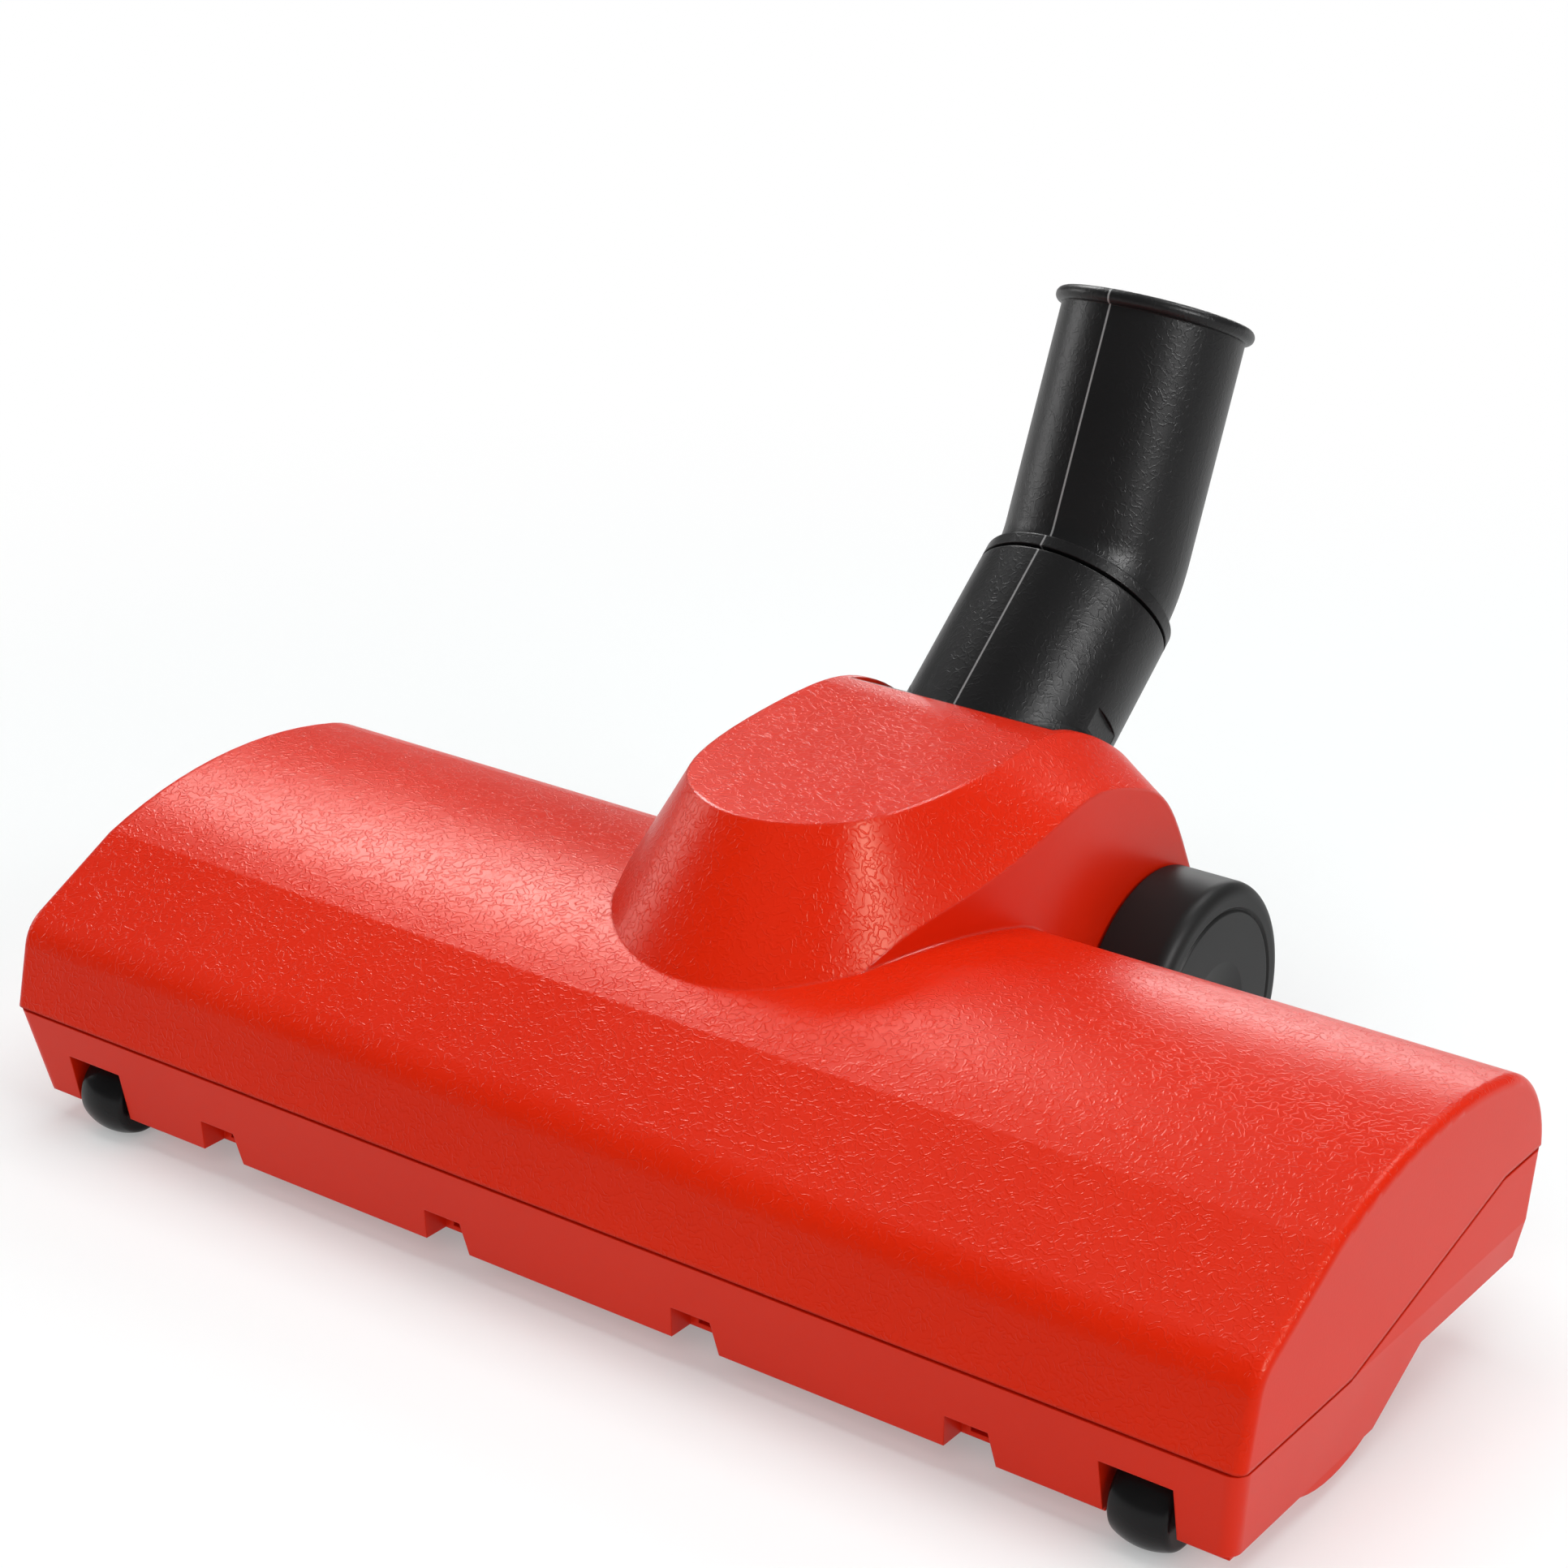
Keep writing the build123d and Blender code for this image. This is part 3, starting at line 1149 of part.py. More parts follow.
bodies = {
    "top_cover": top_cover,
    "base_housing": base_housing,
    "housing_screws": housing_screws,
    "sealing_strip": sealing_strip,
    "roller_hood": roller_hood,
    "roller_tube": roller_tube,
    "roller_bristles": roller_bristles,
    "roller_plug_left": roller_plug_left,
    "roller_plug_right": roller_plug_right,
    "roller_bush_left": roller_bush_left,
    "roller_bush_right": roller_bush_right,
    "roller_pulley": roller_pulley,
    "drive_belt": drive_belt,
    "drive_pinion": drive_pinion,
    "turbine_shaft": turbine_shaft,
    "turbine_rotor": turbine_rotor,
    "shaft_bush_left": shaft_bush_left,
    "shaft_bush_right": shaft_bush_right,
    "shaft_bush_outer": shaft_bush_outer,
    "turbine_flap": turbine_flap,
    "neck_sleeve": neck_sleeve,
    "neck_tube": neck_tube,
    "swivel_clip": swivel_clip,
    "rear_axle": rear_axle,
    "wheel_left": wheel_left,
    "wheel_right": wheel_right,
    "wheel_washer_left": wheel_washer_left,
    "wheel_washer_right": wheel_washer_right,
    "caster_left": caster_left,
    "caster_right": caster_right,
    "caster_pin_left": caster_pin_left,
    "caster_pin_right": caster_pin_right,
}
for name, body in bodies.items():
    body.part.label = name
    export_step(body.part, f"parts/{name}.step")
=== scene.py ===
import json
import math
import random

import bmesh
import bpy
from mathutils import Matrix, Vector


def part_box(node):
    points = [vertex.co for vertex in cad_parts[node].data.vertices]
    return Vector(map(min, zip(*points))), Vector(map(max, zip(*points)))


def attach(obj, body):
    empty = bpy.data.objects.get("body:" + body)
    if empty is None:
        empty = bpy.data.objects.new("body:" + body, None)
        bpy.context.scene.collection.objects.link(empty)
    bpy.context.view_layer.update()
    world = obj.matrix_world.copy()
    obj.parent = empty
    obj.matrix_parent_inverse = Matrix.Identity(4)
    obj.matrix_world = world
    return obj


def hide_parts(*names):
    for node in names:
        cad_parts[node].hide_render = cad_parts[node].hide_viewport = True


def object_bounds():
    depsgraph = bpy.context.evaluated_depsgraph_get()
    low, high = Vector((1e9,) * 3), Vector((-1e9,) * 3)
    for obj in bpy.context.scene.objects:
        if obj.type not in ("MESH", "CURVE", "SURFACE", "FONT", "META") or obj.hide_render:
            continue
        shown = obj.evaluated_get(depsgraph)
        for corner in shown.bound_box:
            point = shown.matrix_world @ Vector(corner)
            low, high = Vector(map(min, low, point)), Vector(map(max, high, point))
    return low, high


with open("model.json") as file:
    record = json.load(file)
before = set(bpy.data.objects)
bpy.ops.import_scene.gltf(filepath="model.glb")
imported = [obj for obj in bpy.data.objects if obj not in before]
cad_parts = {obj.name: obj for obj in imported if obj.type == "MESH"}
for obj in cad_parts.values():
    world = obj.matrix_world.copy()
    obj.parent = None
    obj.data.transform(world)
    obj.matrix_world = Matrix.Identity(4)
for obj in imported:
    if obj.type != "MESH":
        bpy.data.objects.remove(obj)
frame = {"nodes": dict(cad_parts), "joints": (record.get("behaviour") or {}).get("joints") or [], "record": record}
nodes = frame["nodes"]
cad_low, cad_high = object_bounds()
scene = bpy.context.scene

ALONG = Vector((1, 0, 0))
WHITE = (1, 1, 1, 1)


# Materials

DRIFT_SCALE, GLOSS_SCALE, FINE_SCALE, STREAK_SCALE = 18.0, 45.0, 1800.0, 900.0
FINE_SHARE = 0.2
GLOSS_DRIFT = 0.04
GRAIN_SCALE = 720.0
RIDGE_CORE, RIDGE_EDGE = 0.01, 0.09
PATCH_LEAST = 0.35
PLAIN_BUMP = 0.00001
EDGE_RADIUS = 0.0004
EDGE_SAMPLES = 6
EDGE_START, EDGE_FULL = 0.99, 0.93
POLISH_FADE, POLISH_ROUGHNESS = 0.004, 0.12
END_START, END_FULL = 0.75, 0.95
LINE_CORE, LINE_EDGE = 0.0001, 0.0003
LINE_HEIGHT, LINE_POLISH = 2.0, 0.12
LINE_GREY = (0.22, 0.22, 0.22)


def new_material(name):
    """A material with one shader, its node tree and that shader."""
    material = bpy.data.materials.new(name)
    material.use_nodes = True
    tree = material.node_tree
    tree.nodes.clear()
    shader = tree.nodes.new("ShaderNodeBsdfPrincipled")
    output = tree.nodes.new("ShaderNodeOutputMaterial")
    tree.links.new(shader.outputs["BSDF"], output.inputs["Surface"])
    return material, tree, shader


def texture_places(tree):
    return tree.nodes.new("ShaderNodeTexCoord").outputs["Object"]


def parts_of(tree, vector):
    """The X, Y and Z outputs of a vector."""
    split = tree.nodes.new("ShaderNodeSeparateXYZ")
    tree.links.new(vector, split.inputs["Vector"])
    return split.outputs


def noise(tree, places, scale, detail=2.0, roughness=0.5, distortion=0.0):
    node = tree.nodes.new("ShaderNodeTexNoise")
    node.inputs["Scale"].default_value = scale
    node.inputs["Detail"].default_value = detail
    node.inputs["Roughness"].default_value = roughness
    node.inputs["Distortion"].default_value = distortion
    tree.links.new(places, node.inputs["Vector"])
    return node.outputs["Fac"]


def remap(tree, value, low, high, to_low, to_high, smooth=False):
    node = tree.nodes.new("ShaderNodeMapRange")
    node.interpolation_type = "SMOOTHSTEP" if smooth else "LINEAR"
    node.inputs["From Min"].default_value = low
    node.inputs["From Max"].default_value = high
    node.inputs["To Min"].default_value = to_low
    node.inputs["To Max"].default_value = to_high
    tree.links.new(value, node.inputs["Value"])
    return node.outputs["Result"]


def math_node(tree, operation, first, second=None):
    node = tree.nodes.new("ShaderNodeMath")
    node.operation = operation
    for socket, value in zip(node.inputs, (first, second)):
        if value is None:
            continue
        if isinstance(value, (int, float)):
            socket.default_value = value
        else:
            tree.links.new(value, socket)
    return node.outputs["Value"]


def mix_colours(tree, share, first, second):
    node = tree.nodes.new("ShaderNodeMix")
    node.data_type = "RGBA"
    for socket, colour in ((node.inputs["A"], first), (node.inputs["B"], second)):
        if isinstance(colour, tuple):
            socket.default_value = (*colour, 1)
        else:
            tree.links.new(colour, socket)
    tree.links.new(share, node.inputs["Factor"])
    return node.outputs["Result"]


def rounded_normals(tree, radius):
    """Normals that are rounded over at the sharp edges."""
    node = tree.nodes.new("ShaderNodeBevel")
    node.samples = EDGE_SAMPLES
    node.inputs["Radius"].default_value = radius
    return node.outputs["Normal"]


def edge_share(tree, normals):
    """One along the sharp edges, where the rounded normals leave the plain ones."""
    node = tree.nodes.new("ShaderNodeVectorMath")
    node.operation = "DOT_PRODUCT"
    plain = tree.nodes.new("ShaderNodeNewGeometry").outputs["Normal"]
    tree.links.new(normals, node.inputs[0])
    tree.links.new(plain, node.inputs[1])
    return remap(tree, node.outputs["Value"], EDGE_START, EDGE_FULL, 0.0, 1.0)


def bump(tree, shader, height, distance, normals):
    node = tree.nodes.new("ShaderNodeBump")
    node.inputs["Distance"].default_value = distance
    tree.links.new(normals, node.inputs["Normal"])
    tree.links.new(height, node.inputs["Height"])
    tree.links.new(node.outputs["Normal"], shader.inputs["Normal"])


def worm_grain(tree, places):
    """Short wandering ridges of an etched mould: thin bands where a noise crosses its middle."""
    field = noise(tree, places, GRAIN_SCALE, detail=0.5, roughness=0.4, distortion=0.5)
    band = math_node(tree, "ABSOLUTE", math_node(tree, "SUBTRACT", field, 0.5))
    ridge = remap(tree, band, RIDGE_CORE, RIDGE_EDGE, 1.0, 0.0, smooth=True)
    patches = noise(tree, places, GRAIN_SCALE / 2, detail=1.0)
    strength = remap(tree, patches, 0.3, 0.6, PATCH_LEAST, 1.0, smooth=True)
    return math_node(tree, "MULTIPLY", ridge, strength)


def end_share(tree):
    """One on faces that look along the head, at its two ends, and nothing on the others."""
    normal = tree.nodes.new("ShaderNodeNewGeometry").outputs["True Normal"]
    sideways = math_node(tree, "ABSOLUTE", parts_of(tree, normal)["X"])
    return remap(tree, sideways, END_START, END_FULL, 0.0, 1.0)


def mould_line(tree, places):
    """One along the thin line where the halves of a mould met, in the middle of the head."""
    sideways = math_node(tree, "ABSOLUTE", parts_of(tree, places)["X"])
    return remap(tree, sideways, LINE_CORE, LINE_EDGE, 1.0, 0.0, smooth=True)


def plastic(
    name,
    dark,
    light,
    roughness,
    grain=0.0,
    smooth_ends=False,
    line=False,
    specular=0.25,
    tint=(1.0, 1.0, 1.0),
    edge_radius=EDGE_RADIUS,
    polished_above=None,
):
    """Moulded plastic with slight drift of colour and gloss.

    It can have an etched grain, plain at the head's ends, a mould line, and polished edges above a height.
    """
    material, tree, shader = new_material(name)
    places = texture_places(tree)
    drift = noise(tree, places, DRIFT_SCALE, detail=3.0)
    colour = mix_colours(tree, remap(tree, drift, 0.3, 0.7, 0.0, 1.0), dark, light)
    gloss = noise(tree, places, GLOSS_SCALE, detail=4.0)
    roughness_here = remap(tree, gloss, 0.25, 0.75, roughness, roughness + GLOSS_DRIFT)
    shader.inputs["Specular IOR Level"].default_value = specular
    shader.inputs["Specular Tint"].default_value = (*tint, 1)
    height = math_node(tree, "MULTIPLY", noise(tree, places, FINE_SCALE), FINE_SHARE)
    if grain:
        ridges = worm_grain(tree, places)
        if smooth_ends:
            grained = math_node(tree, "SUBTRACT", 1.0, end_share(tree))
            ridges = math_node(tree, "MULTIPLY", ridges, grained)
        height = math_node(tree, "ADD", ridges, height)
    if line:
        seam = mould_line(tree, places)
        colour = mix_colours(tree, seam, colour, LINE_GREY)
        height = math_node(tree, "ADD", height, math_node(tree, "MULTIPLY", seam, LINE_HEIGHT))
        polish = math_node(tree, "MULTIPLY", seam, LINE_POLISH)
        roughness_here = math_node(tree, "SUBTRACT", roughness_here, polish)
    tree.links.new(colour, shader.inputs["Base Color"])
    tree.links.new(roughness_here, shader.inputs["Roughness"])
    normals = rounded_normals(tree, edge_radius)
    if polished_above:
        rise = parts_of(tree, places)["Z"]
        upper = remap(tree, rise, polished_above, polished_above + POLISH_FADE, 0.0, 1.0)
        polish = math_node(tree, "MULTIPLY", edge_share(tree, normals), upper)
        tree.links.new(polish, shader.inputs["Coat Weight"])
        shader.inputs["Coat Roughness"].default_value = POLISH_ROUGHNESS
        tree.links.new(normals, shader.inputs["Coat Normal"])
    bump(tree, shader, height, grain or PLAIN_BUMP, normals)
    return material


def metal(name, colour, roughness):
    """Bare metal with fine drift of gloss."""
    material, tree, shader = new_material(name)
    shader.inputs["Base Color"].default_value = (*colour, 1)
    shader.inputs["Metallic"].default_value = 1.0
    streaks = noise(tree, texture_places(tree), STREAK_SCALE, detail=3.0)
    roughness_here = remap(tree, streaks, 0.3, 0.7, roughness - 0.06, roughness + 0.08)
    tree.links.new(roughness_here, shader.inputs["Roughness"])
    return material


RED = (0.63, 0.0150, 0.0016)
RED_LIGHT = (0.66, 0.0175, 0.0020)
RED_GLOSS = 0.15
RED_TINT = (1.0, 0.80, 0.60)
BLACK = (0.0060, 0.0060, 0.0063)
BLACK_LIGHT = (0.0085, 0.0085, 0.0088)
BRISTLE_DARK = (0.004, 0.004, 0.0043)
WHEEL_DARK, WHEEL_LIGHT = (0.008, 0.008, 0.008), (0.011, 0.011, 0.011)
INNER_DARK, INNER_LIGHT = (0.5, 0.5, 0.48), (0.56, 0.56, 0.54)
STEEL, DARK_STEEL, BRONZE = (0.56, 0.56, 0.57), (0.09, 0.09, 0.095), (0.45, 0.3, 0.13)
materials = {
    "cover_plastic": plastic(
        "cover_plastic",
        RED,
        RED_LIGHT,
        0.285,
        grain=0.00005,
        smooth_ends=True,
        tint=RED_TINT,
        specular=RED_GLOSS,
        edge_radius=0.0009,
        polished_above=0.045,
    ),
    "red_plastic": plastic("red_plastic", RED, RED_LIGHT, 0.32, tint=RED_TINT, specular=RED_GLOSS),
    "black_plastic": plastic("black_plastic", BLACK, BLACK_LIGHT, 0.36, grain=0.00002, line=True),
    "roller_black": plastic("roller_black", BLACK, BLACK_LIGHT, 0.32),
    "bristle_nylon": plastic("bristle_nylon", BRISTLE_DARK, BLACK, 0.45),
    "wheel_black": plastic("wheel_black", WHEEL_DARK, WHEEL_LIGHT, 0.46, specular=0.22),
    "caster_black": plastic("caster_black", BLACK, BLACK_LIGHT, 0.22, specular=0.16),
    "strip_rubber": plastic("strip_rubber", BLACK, BLACK_LIGHT, 0.6),
    "belt_rubber": plastic("belt_rubber", BLACK, BLACK_LIGHT, 0.6),
    "inner_plastic": plastic("inner_plastic", INNER_DARK, INNER_LIGHT, 0.45),
    "pin_steel": metal("pin_steel", STEEL, 0.36),
    "screw_steel": metal("screw_steel", DARK_STEEL, 0.38),
    "bush_bronze": metal("bush_bronze", BRONZE, 0.4),
}
slot_of = {row["node"]: row["material_slot"] for row in frame["record"]["subparts"]}
for name, part in nodes.items():
    part.data.materials.clear()
    part.data.materials.append(materials[slot_of[name]])


# Bristles: each plain tuft of the frame becomes a brush of fine strands that spread to their tips

TUFT_PITCH = 0.0086
TUFT_TWIST = math.radians(1050)
TUFT_ZERO = 0.035
TUFTS_IN_ROW = 24
TUFT_ROOT, TUFT_TIP = 0.0013, 0.0025
TUFT_MIDDLE = TUFT_ROOT * 1.08
ROOT_DEPTH = 0.0006
STRANDS = 56
STRAND_SIDES = 3
STRAND_RADIUS = 0.00013
STRAND_TAPER = (1.0, 0.95, 0.7)
STRAY_TIP, STRAY_MIDDLE = 0.00015, 0.3
SHORT_LEAST, SHORT_MOST = 0.0002, 0.0011

tube_low, tube_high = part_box("roller_tube")
tuft_low, tuft_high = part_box("roller_bristles")
roller_y = (tube_low.y + tube_high.y) / 2
roller_z = (tube_low.z + tube_high.z) / 2
tube_radius = (tube_high.z - tube_low.z) / 2
tuft_reach = (tuft_high.z - tuft_low.z) / 2

chance = random.Random(7)
points, faces = [], []


def add_strand(centre, outward, across):
    """Adds one strand's points and faces, from its root in the tube to its tip."""
    angle = chance.uniform(0, 2 * math.pi)
    share = math.sqrt(chance.uniform(0, 1))
    spread = (ALONG * math.cos(angle) + across * math.sin(angle)) * share
    stray = (ALONG * chance.gauss(0, 1) + across * chance.gauss(0, 1)) * STRAY_TIP
    length = tuft_reach - chance.uniform(SHORT_LEAST, SHORT_MOST)
    root = centre + outward * (tube_radius - ROOT_DEPTH) + spread * TUFT_ROOT
    middle = centre + outward * (tube_radius + length) / 2 + spread * TUFT_MIDDLE + stray * STRAY_MIDDLE
    tip = centre + outward * length + spread * TUFT_TIP + stray
    first = len(points)
    for place, taper in zip((root, middle, tip), STRAND_TAPER):
        for side in range(STRAND_SIDES):
            corner = 2 * math.pi * side / STRAND_SIDES + angle
            reach = ALONG * math.cos(corner) + across * math.sin(corner)
            points.append(place + reach * STRAND_RADIUS * taper)
    for ring in (first, first + STRAND_SIDES):
        upper = ring + STRAND_SIDES
        for side in range(STRAND_SIDES):
            following = (side + 1) % STRAND_SIDES
            faces.append((ring + side, ring + following, upper + following, upper + side))
    faces.append(tuple(range(len(points) - STRAND_SIDES, len(points))))


for row in (0, math.pi):
    for step in range(TUFTS_IN_ROW):
        x = (step - (TUFTS_IN_ROW - 1) / 2) * TUFT_PITCH
        turn = TUFT_TWIST * (x - TUFT_ZERO) + row
        outward = Vector((0, math.sin(turn), -math.cos(turn)))
        for _ in range(STRANDS):
            add_strand(Vector((x, roller_y, roller_z)), outward, outward.cross(ALONG))
strand_mesh = bpy.data.meshes.new("bristle_strands")
strand_mesh.from_pydata(points, [], faces)
strand_mesh.materials.append(materials["bristle_nylon"])
strands = bpy.data.objects.new("bristle_strands", strand_mesh)
scene.collection.objects.link(strands)
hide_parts("roller_bristles")
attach(strands, "roller")


# Sleeve: a copy of the frame's, with a flat stepped in on each side, a shorter end, and a flat along
# the top of its barrel

FLAT_START, FLAT_END = 0.0222, 0.0275
FLAT_WIDTH = 0.0111
FLAT_DISTANCE = 0.0206
SLEEVE_RADIUS = 0.0214
END_GAP = 0.0004
BARREL_FLAT = 0.0201
BARREL_FLAT_LEAN = math.radians(26.3)
ROD_CLEARANCE = 0.00005
ROD_SEGMENTS = 96
WELD_DISTANCE = 0.000001
ROUND_SLACK, ROUND_COSINE = 0.00003, 0.98
SHARP_ANGLE = math.radians(28)
TOOL_SIZE = 4 * SLEEVE_RADIUS

swivel = next(joint for joint in frame["joints"] if joint["name"] == "neck_swivel")
sleeve_axis = Vector(swivel["axis"]).normalized()
sleeve_foot = Vector(swivel["pos_m"])


def axes_with(upward):
    """Three right-handed axes: along the head, across it, and a given one."""
    return ALONG, upward.cross(ALONG), upward


def welded_copy(name, part):
    """A copy of a frame part whose faces share their corners."""
    mesh = part.data.copy()
    work = bmesh.new()
    work.from_mesh(mesh)
    bmesh.ops.remove_doubles(work, verts=work.verts, dist=WELD_DISTANCE)
    work.to_mesh(mesh)
    work.free()
    piece = bpy.data.objects.new(name, mesh)
    scene.collection.objects.link(piece)
    return piece


def cutter(work, centre, axes):
    """An object from a mesh in the making, set at a centre and turned to three axes."""
    for corner in work.verts:
        corner.co = centre + sum((axis * share for axis, share in zip(axes, corner.co)), Vector())
    mesh = bpy.data.meshes.new("cutter")
    work.to_mesh(mesh)
    work.free()
    tool = bpy.data.objects.new("cutter", mesh)
    scene.collection.objects.link(tool)
    return tool


def box_cutter(centre, sizes, axes):
    work = bmesh.new()
    bmesh.ops.create_cube(work, size=1.0)
    bmesh.ops.scale(work, vec=sizes, verts=work.verts)
    return cutter(work, centre, axes)


def rod_cutter(centre, radius, length, axes):
    work = bmesh.new()
    bmesh.ops.create_cone(
        work, cap_ends=True, segments=ROD_SEGMENTS, radius1=radius, radius2=radius, depth=length
    )
    return cutter(work, centre, axes)


def take_away(piece, tool):
    """Cuts a tool's shape out of a piece, and removes the tool."""
    cut = piece.modifiers.new("cut", "BOOLEAN")
    cut.operation = "DIFFERENCE"
    cut.solver = "EXACT"
    cut.object = tool
    bpy.context.view_layer.update()
    graph = bpy.context.evaluated_depsgraph_get()
    done = bpy.data.meshes.new_from_object(piece.evaluated_get(graph))
    piece.modifiers.clear()
    piece.data = done
    bpy.data.objects.remove(tool)


def true_round(piece, foot, axis, radius):
    """Gives the corners on a piece's round surface the normals of the true cylinder."""
    mesh = piece.data
    normals = [corner.vector.copy() for corner in mesh.corner_normals]
    for face in mesh.polygons:
        for corner in face.loop_indices:
            place = mesh.vertices[mesh.loops[corner].vertex_index].co - foot
            outward = place - axis * place.dot(axis)
            on_it = abs(outward.length - radius) < ROUND_SLACK
            if on_it and face.normal.dot(outward.normalized()) > ROUND_COSINE:
                normals[corner] = outward.normalized()
    mesh.normals_split_custom_set(normals)


sleeve = welded_copy("sleeve_with_flats", nodes["neck_sleeve"])
sleeve_axes = axes_with(sleeve_axis)
flat_sizes = (FLAT_WIDTH, FLAT_WIDTH, FLAT_END - FLAT_START)
for side in (-1, 1):
    centre = sleeve_foot + sleeve_axis * (FLAT_START + FLAT_END) / 2
    centre += Vector((side * (FLAT_DISTANCE + FLAT_WIDTH / 2), 0, 0))
    take_away(sleeve, box_cutter(centre, flat_sizes, sleeve_axes))
# A thin slice off the end leaves the tube's bead a clear gap to turn in
sleeve_end = max((corner.co - sleeve_foot).dot(sleeve_axis) for corner in sleeve.data.vertices)
slice_centre = sleeve_foot + sleeve_axis * (sleeve_end - END_GAP + TOOL_SIZE / 2)
take_away(sleeve, box_cutter(slice_centre, (TOOL_SIZE, TOOL_SIZE, TOOL_SIZE), sleeve_axes))
# The flat along the barrel, on both sides of the round sleeve, keeps it below the cover's roof
lean = Vector((0, math.sin(BARREL_FLAT_LEAN), math.cos(BARREL_FLAT_LEAN)))
flat_centre = sleeve_foot + lean * (BARREL_FLAT + SLEEVE_RADIUS)
flat_tool = box_cutter(flat_centre, (TOOL_SIZE, TOOL_SIZE, 2 * SLEEVE_RADIUS), axes_with(lean))
sleeve_rod = rod_cutter(sleeve_foot, SLEEVE_RADIUS + ROD_CLEARANCE, 2 * TOOL_SIZE, sleeve_axes)
take_away(flat_tool, sleeve_rod)
take_away(sleeve, flat_tool)
sleeve.data.shade_smooth()
sleeve.data.set_sharp_from_angle(angle=SHARP_ANGLE)
true_round(sleeve, sleeve_foot, sleeve_axis, SLEEVE_RADIUS)
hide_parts("neck_sleeve")
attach(sleeve, "sleeve")


# Floor: pale, with a painted glow that lightens its shadows by the head and grows to the white backdrop farther
# out, and clear from below so that it never hides the underside

FLOOR_REACH = 6
# A faint cyan tint in the floor's colour takes out some of the red light that the head bounces into the floor's
# shadows
FLOOR_COLOUR = (0.89, 0.92, 0.92, 1)
FLOOR_ROUGHNESS = 0.9
FLOOR_SPECULAR = 0.1
GLOW_NEAR, GLOW_FAR = 0.16, 0.55
GLOW_LEAST = 0.3

floor_corners = [(x * FLOOR_REACH, y * FLOOR_REACH, 0) for x, y in ((-1, -1), (1, -1), (1, 1), (-1, 1))]
floor_mesh = bpy.data.meshes.new("floor")
floor_mesh.from_pydata(floor_corners, [], [(0, 1, 2, 3)])
floor = bpy.data.objects.new("floor", floor_mesh)
scene.collection.objects.link(floor)
floor_material, floor_tree, floor_shader = new_material("floor")
floor_shader.inputs["Base Color"].default_value = FLOOR_COLOUR
floor_shader.inputs["Roughness"].default_value = FLOOR_ROUGHNESS
floor_shader.inputs["Specular IOR Level"].default_value = FLOOR_SPECULAR
# Painted light: the floor glows, three tenths glow near the head, which lightens the shadows there, and all glow
# farther out
glow = floor_tree.nodes.new("ShaderNodeEmission")
glow.inputs["Color"].default_value = WHITE
distance = floor_tree.nodes.new("ShaderNodeVectorMath")
distance.operation = "LENGTH"
floor_tree.links.new(texture_places(floor_tree), distance.inputs[0])
glow_share = remap(
    floor_tree, distance.outputs["Value"], GLOW_NEAR, GLOW_FAR, GLOW_LEAST, 1.0, smooth=True
)
floor_mix = floor_tree.nodes.new("ShaderNodeMixShader")
floor_tree.links.new(glow_share, floor_mix.inputs["Fac"])
floor_tree.links.new(floor_shader.outputs["BSDF"], floor_mix.inputs[1])
floor_tree.links.new(glow.outputs["Emission"], floor_mix.inputs[2])
clear = floor_tree.nodes.new("ShaderNodeBsdfTransparent")
underneath = floor_tree.nodes.new("ShaderNodeNewGeometry").outputs["Backfacing"]
floor_sides = floor_tree.nodes.new("ShaderNodeMixShader")
floor_tree.links.new(underneath, floor_sides.inputs["Fac"])
floor_tree.links.new(floor_mix.outputs["Shader"], floor_sides.inputs[1])
floor_tree.links.new(clear.outputs["BSDF"], floor_sides.inputs[2])
floor_output = floor_tree.nodes["Material Output"]
floor_tree.links.new(floor_sides.outputs["Shader"], floor_output.inputs["Surface"])
floor_mesh.materials.append(floor_material)


# Light: a studio that is bright at the back and dim at the front, with a white backdrop

FRONT_GLOW, BACK_GLOW = 0.1, 0.2

world = bpy.data.worlds.new("studio")
scene.world = world
world.use_nodes = True
tree = world.node_tree
tree.nodes.clear()
out = tree.nodes.new("ShaderNodeOutputWorld")
mix = tree.nodes.new("ShaderNodeMixShader")
path = tree.nodes.new("ShaderNodeLightPath")
backward = parts_of(tree, tree.nodes.new("ShaderNodeTexCoord").outputs["Generated"])["Y"]
ambient = tree.nodes.new("ShaderNodeBackground")
ambient.inputs["Color"].default_value = WHITE
strength = remap(tree, backward, 0.1, 0.9, FRONT_GLOW, BACK_GLOW, smooth=True)
tree.links.new(strength, ambient.inputs["Strength"])
backdrop = tree.nodes.new("ShaderNodeBackground")
backdrop.inputs["Color"].default_value = WHITE
backdrop.inputs["Strength"].default_value = 1.0
tree.links.new(path.outputs["Is Camera Ray"], mix.inputs["Fac"])
tree.links.new(ambient.outputs["Background"], mix.inputs[1])
tree.links.new(backdrop.outputs["Background"], mix.inputs[2])
tree.links.new(mix.outputs["Shader"], out.inputs["Surface"])


def softbox(name, place, target, width, height, power, gloss):
    """A rectangular lamp that shows in reflections only, or without gloss lights surfaces only."""
    light = bpy.data.lights.new(name, "AREA")
    light.shape = "RECTANGLE"
    light.size = width
    light.size_y = height
    light.energy = power
    lamp = bpy.data.objects.new(name, light)
    lamp.location = place
    lamp.rotation_mode = "QUATERNION"
    lamp.rotation_quaternion = (Vector(target) - Vector(place)).to_track_quat("-Z", "Y")
    lamp.visible_camera = False
    lamp.visible_glossy = gloss
    lamp.visible_diffuse = not gloss
    scene.collection.objects.link(lamp)


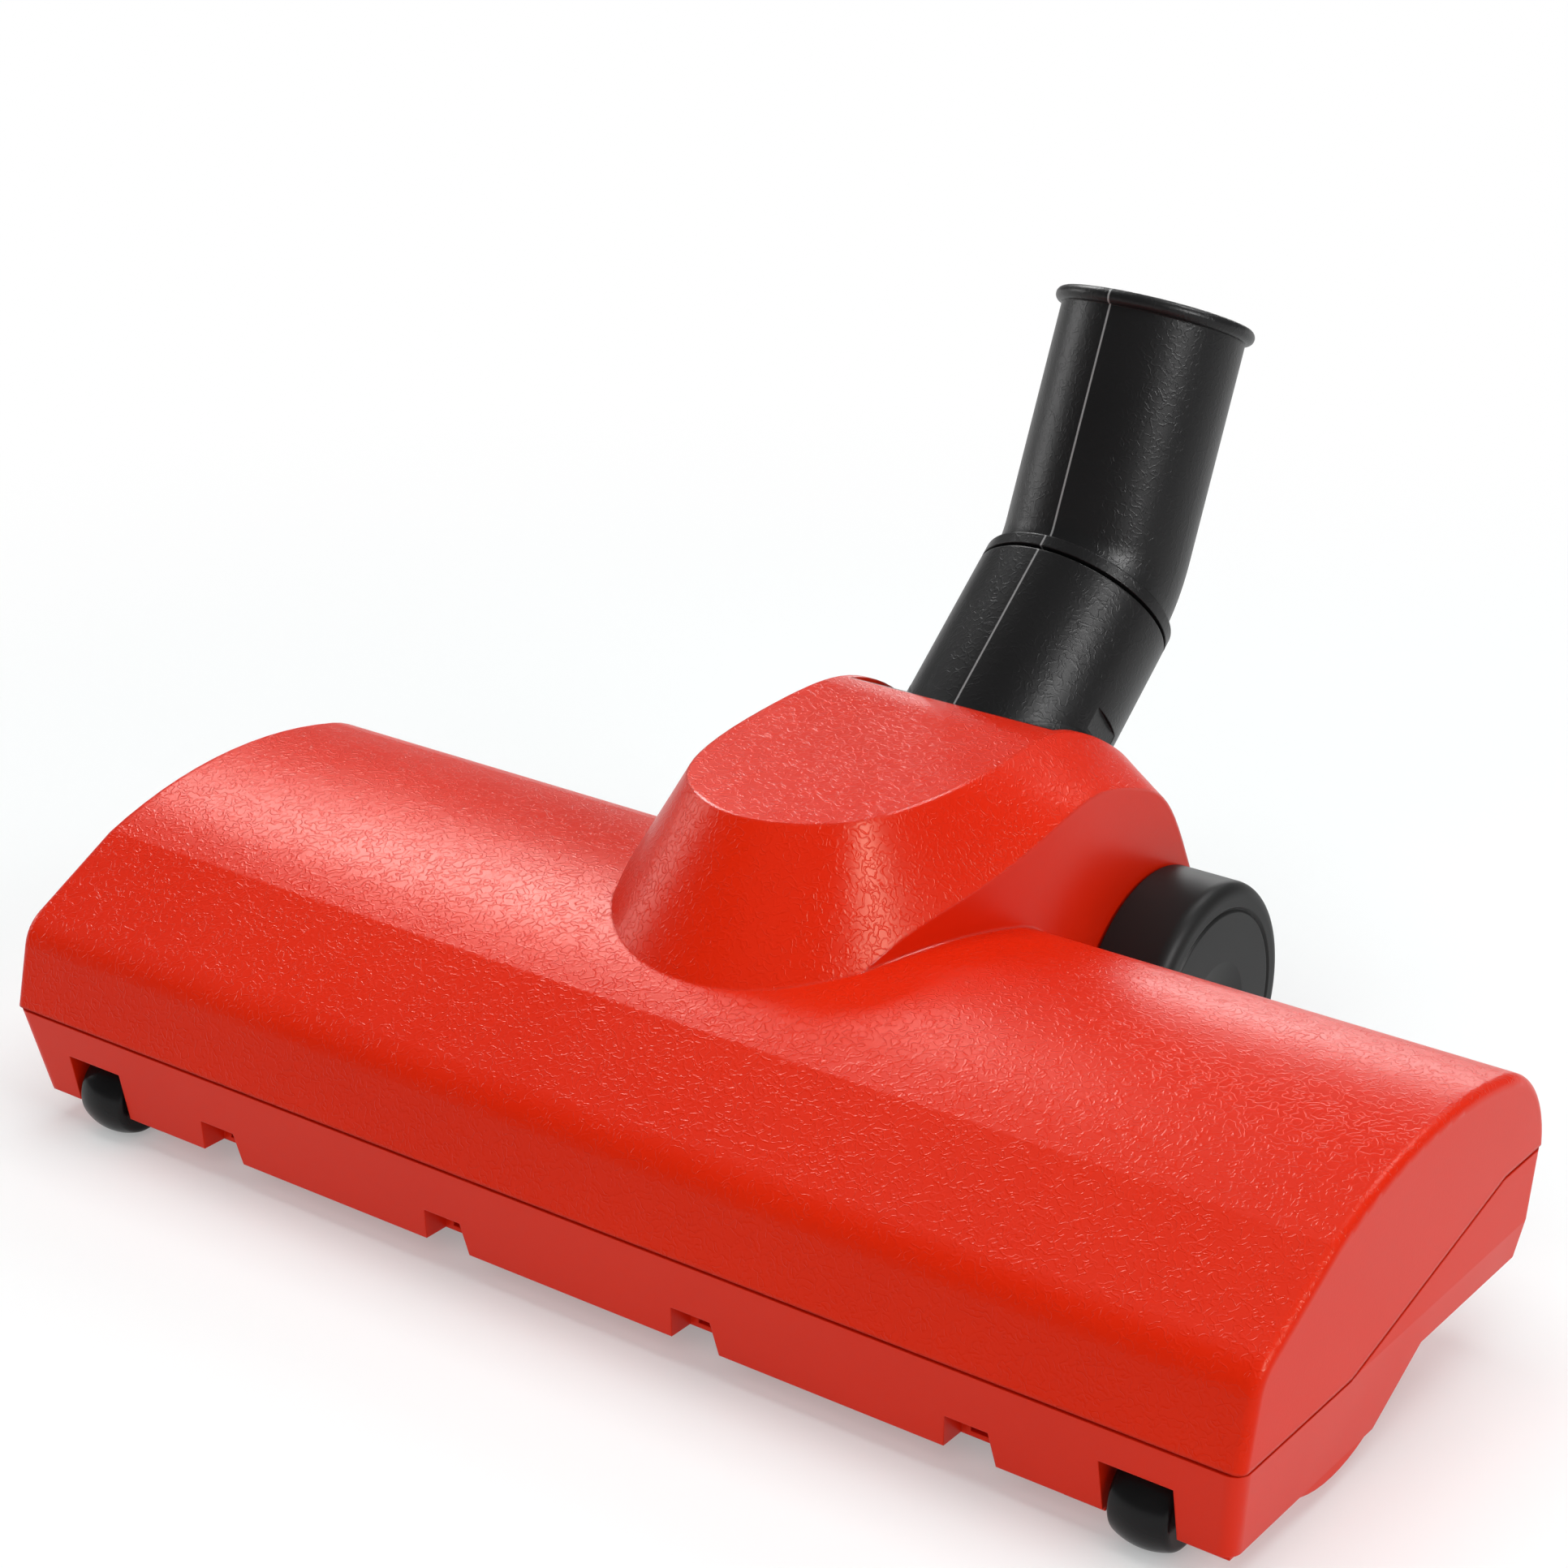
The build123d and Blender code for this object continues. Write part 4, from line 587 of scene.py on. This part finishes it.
softbox("top_light", (0.0, 0.0, 1.4), (0, 0, 0.05), 1.6, 1.3, 15.5, gloss=False)
softbox("front_light", (0.3, -1.3, 1.0), (0, 0, 0.05), 1.2, 0.9, 7.0, gloss=False)
softbox("left_fill", (-1.3, -0.3, 0.7), (0, 0, 0.05), 0.8, 0.8, 2.5, gloss=False)
softbox("right_fill", (1.3, -0.1, 0.7), (0, 0, 0.05), 0.8, 0.8, 8.0, gloss=False)
softbox("back_fill", (0.1, 1.3, 1.0), (0, 0.2, 0.0), 1.0, 0.8, 5.0, gloss=False)
softbox("back_light", (-0.53, 1.31, 0.36), (0, 0, 0.06), 0.5, 0.25, 2.8, gloss=True)
softbox("left_light", (-0.83, 0.58, 0.92), (0, 0, 0.06), 0.45, 0.32, 10.0, gloss=True)
softbox("low_left_light", (-1.34, -0.19, 0.42), (0, 0, 0.07), 0.5, 0.35, 4.0, gloss=True)
softbox("right_light", (1.15, -0.16, 0.78), (0, 0, 0.07), 0.2, 0.35, 14.0, gloss=True)
softbox("rim_light", (0.27, 0.78, 1.2), (0, 0, 0.09), 0.3, 0.3, 7.0, gloss=True)


# Camera

AZIMUTH, ELEVATION, ROLL = (math.radians(angle) for angle in (35.72, 21.89, 0.9))
SENSOR_WIDTH, LENS = 36.0, 78.425
CAMERA_PLACE = (0.34667, cad_low.y - 0.41329, 0.32477)

back = Vector(
    (
        math.sin(AZIMUTH) * math.cos(ELEVATION),
        -math.cos(AZIMUTH) * math.cos(ELEVATION),
        math.sin(ELEVATION),
    )
)
right = Vector((0, 0, 1)).cross(back).normalized()
up = back.cross(right)
turned_right = right * math.cos(ROLL) + up * math.sin(ROLL)
turned_up = up * math.cos(ROLL) - right * math.sin(ROLL)
camera_data = bpy.data.cameras.new("camera")
camera_data.sensor_width = SENSOR_WIDTH
camera_data.lens = LENS
camera = bpy.data.objects.new("camera", camera_data)
camera_turn = Matrix((turned_right, turned_up, back)).transposed().to_4x4()
camera.matrix_world = Matrix.Translation(CAMERA_PLACE) @ camera_turn
scene.collection.objects.link(camera)
scene.camera = camera
scene.view_settings.view_transform = "Standard"
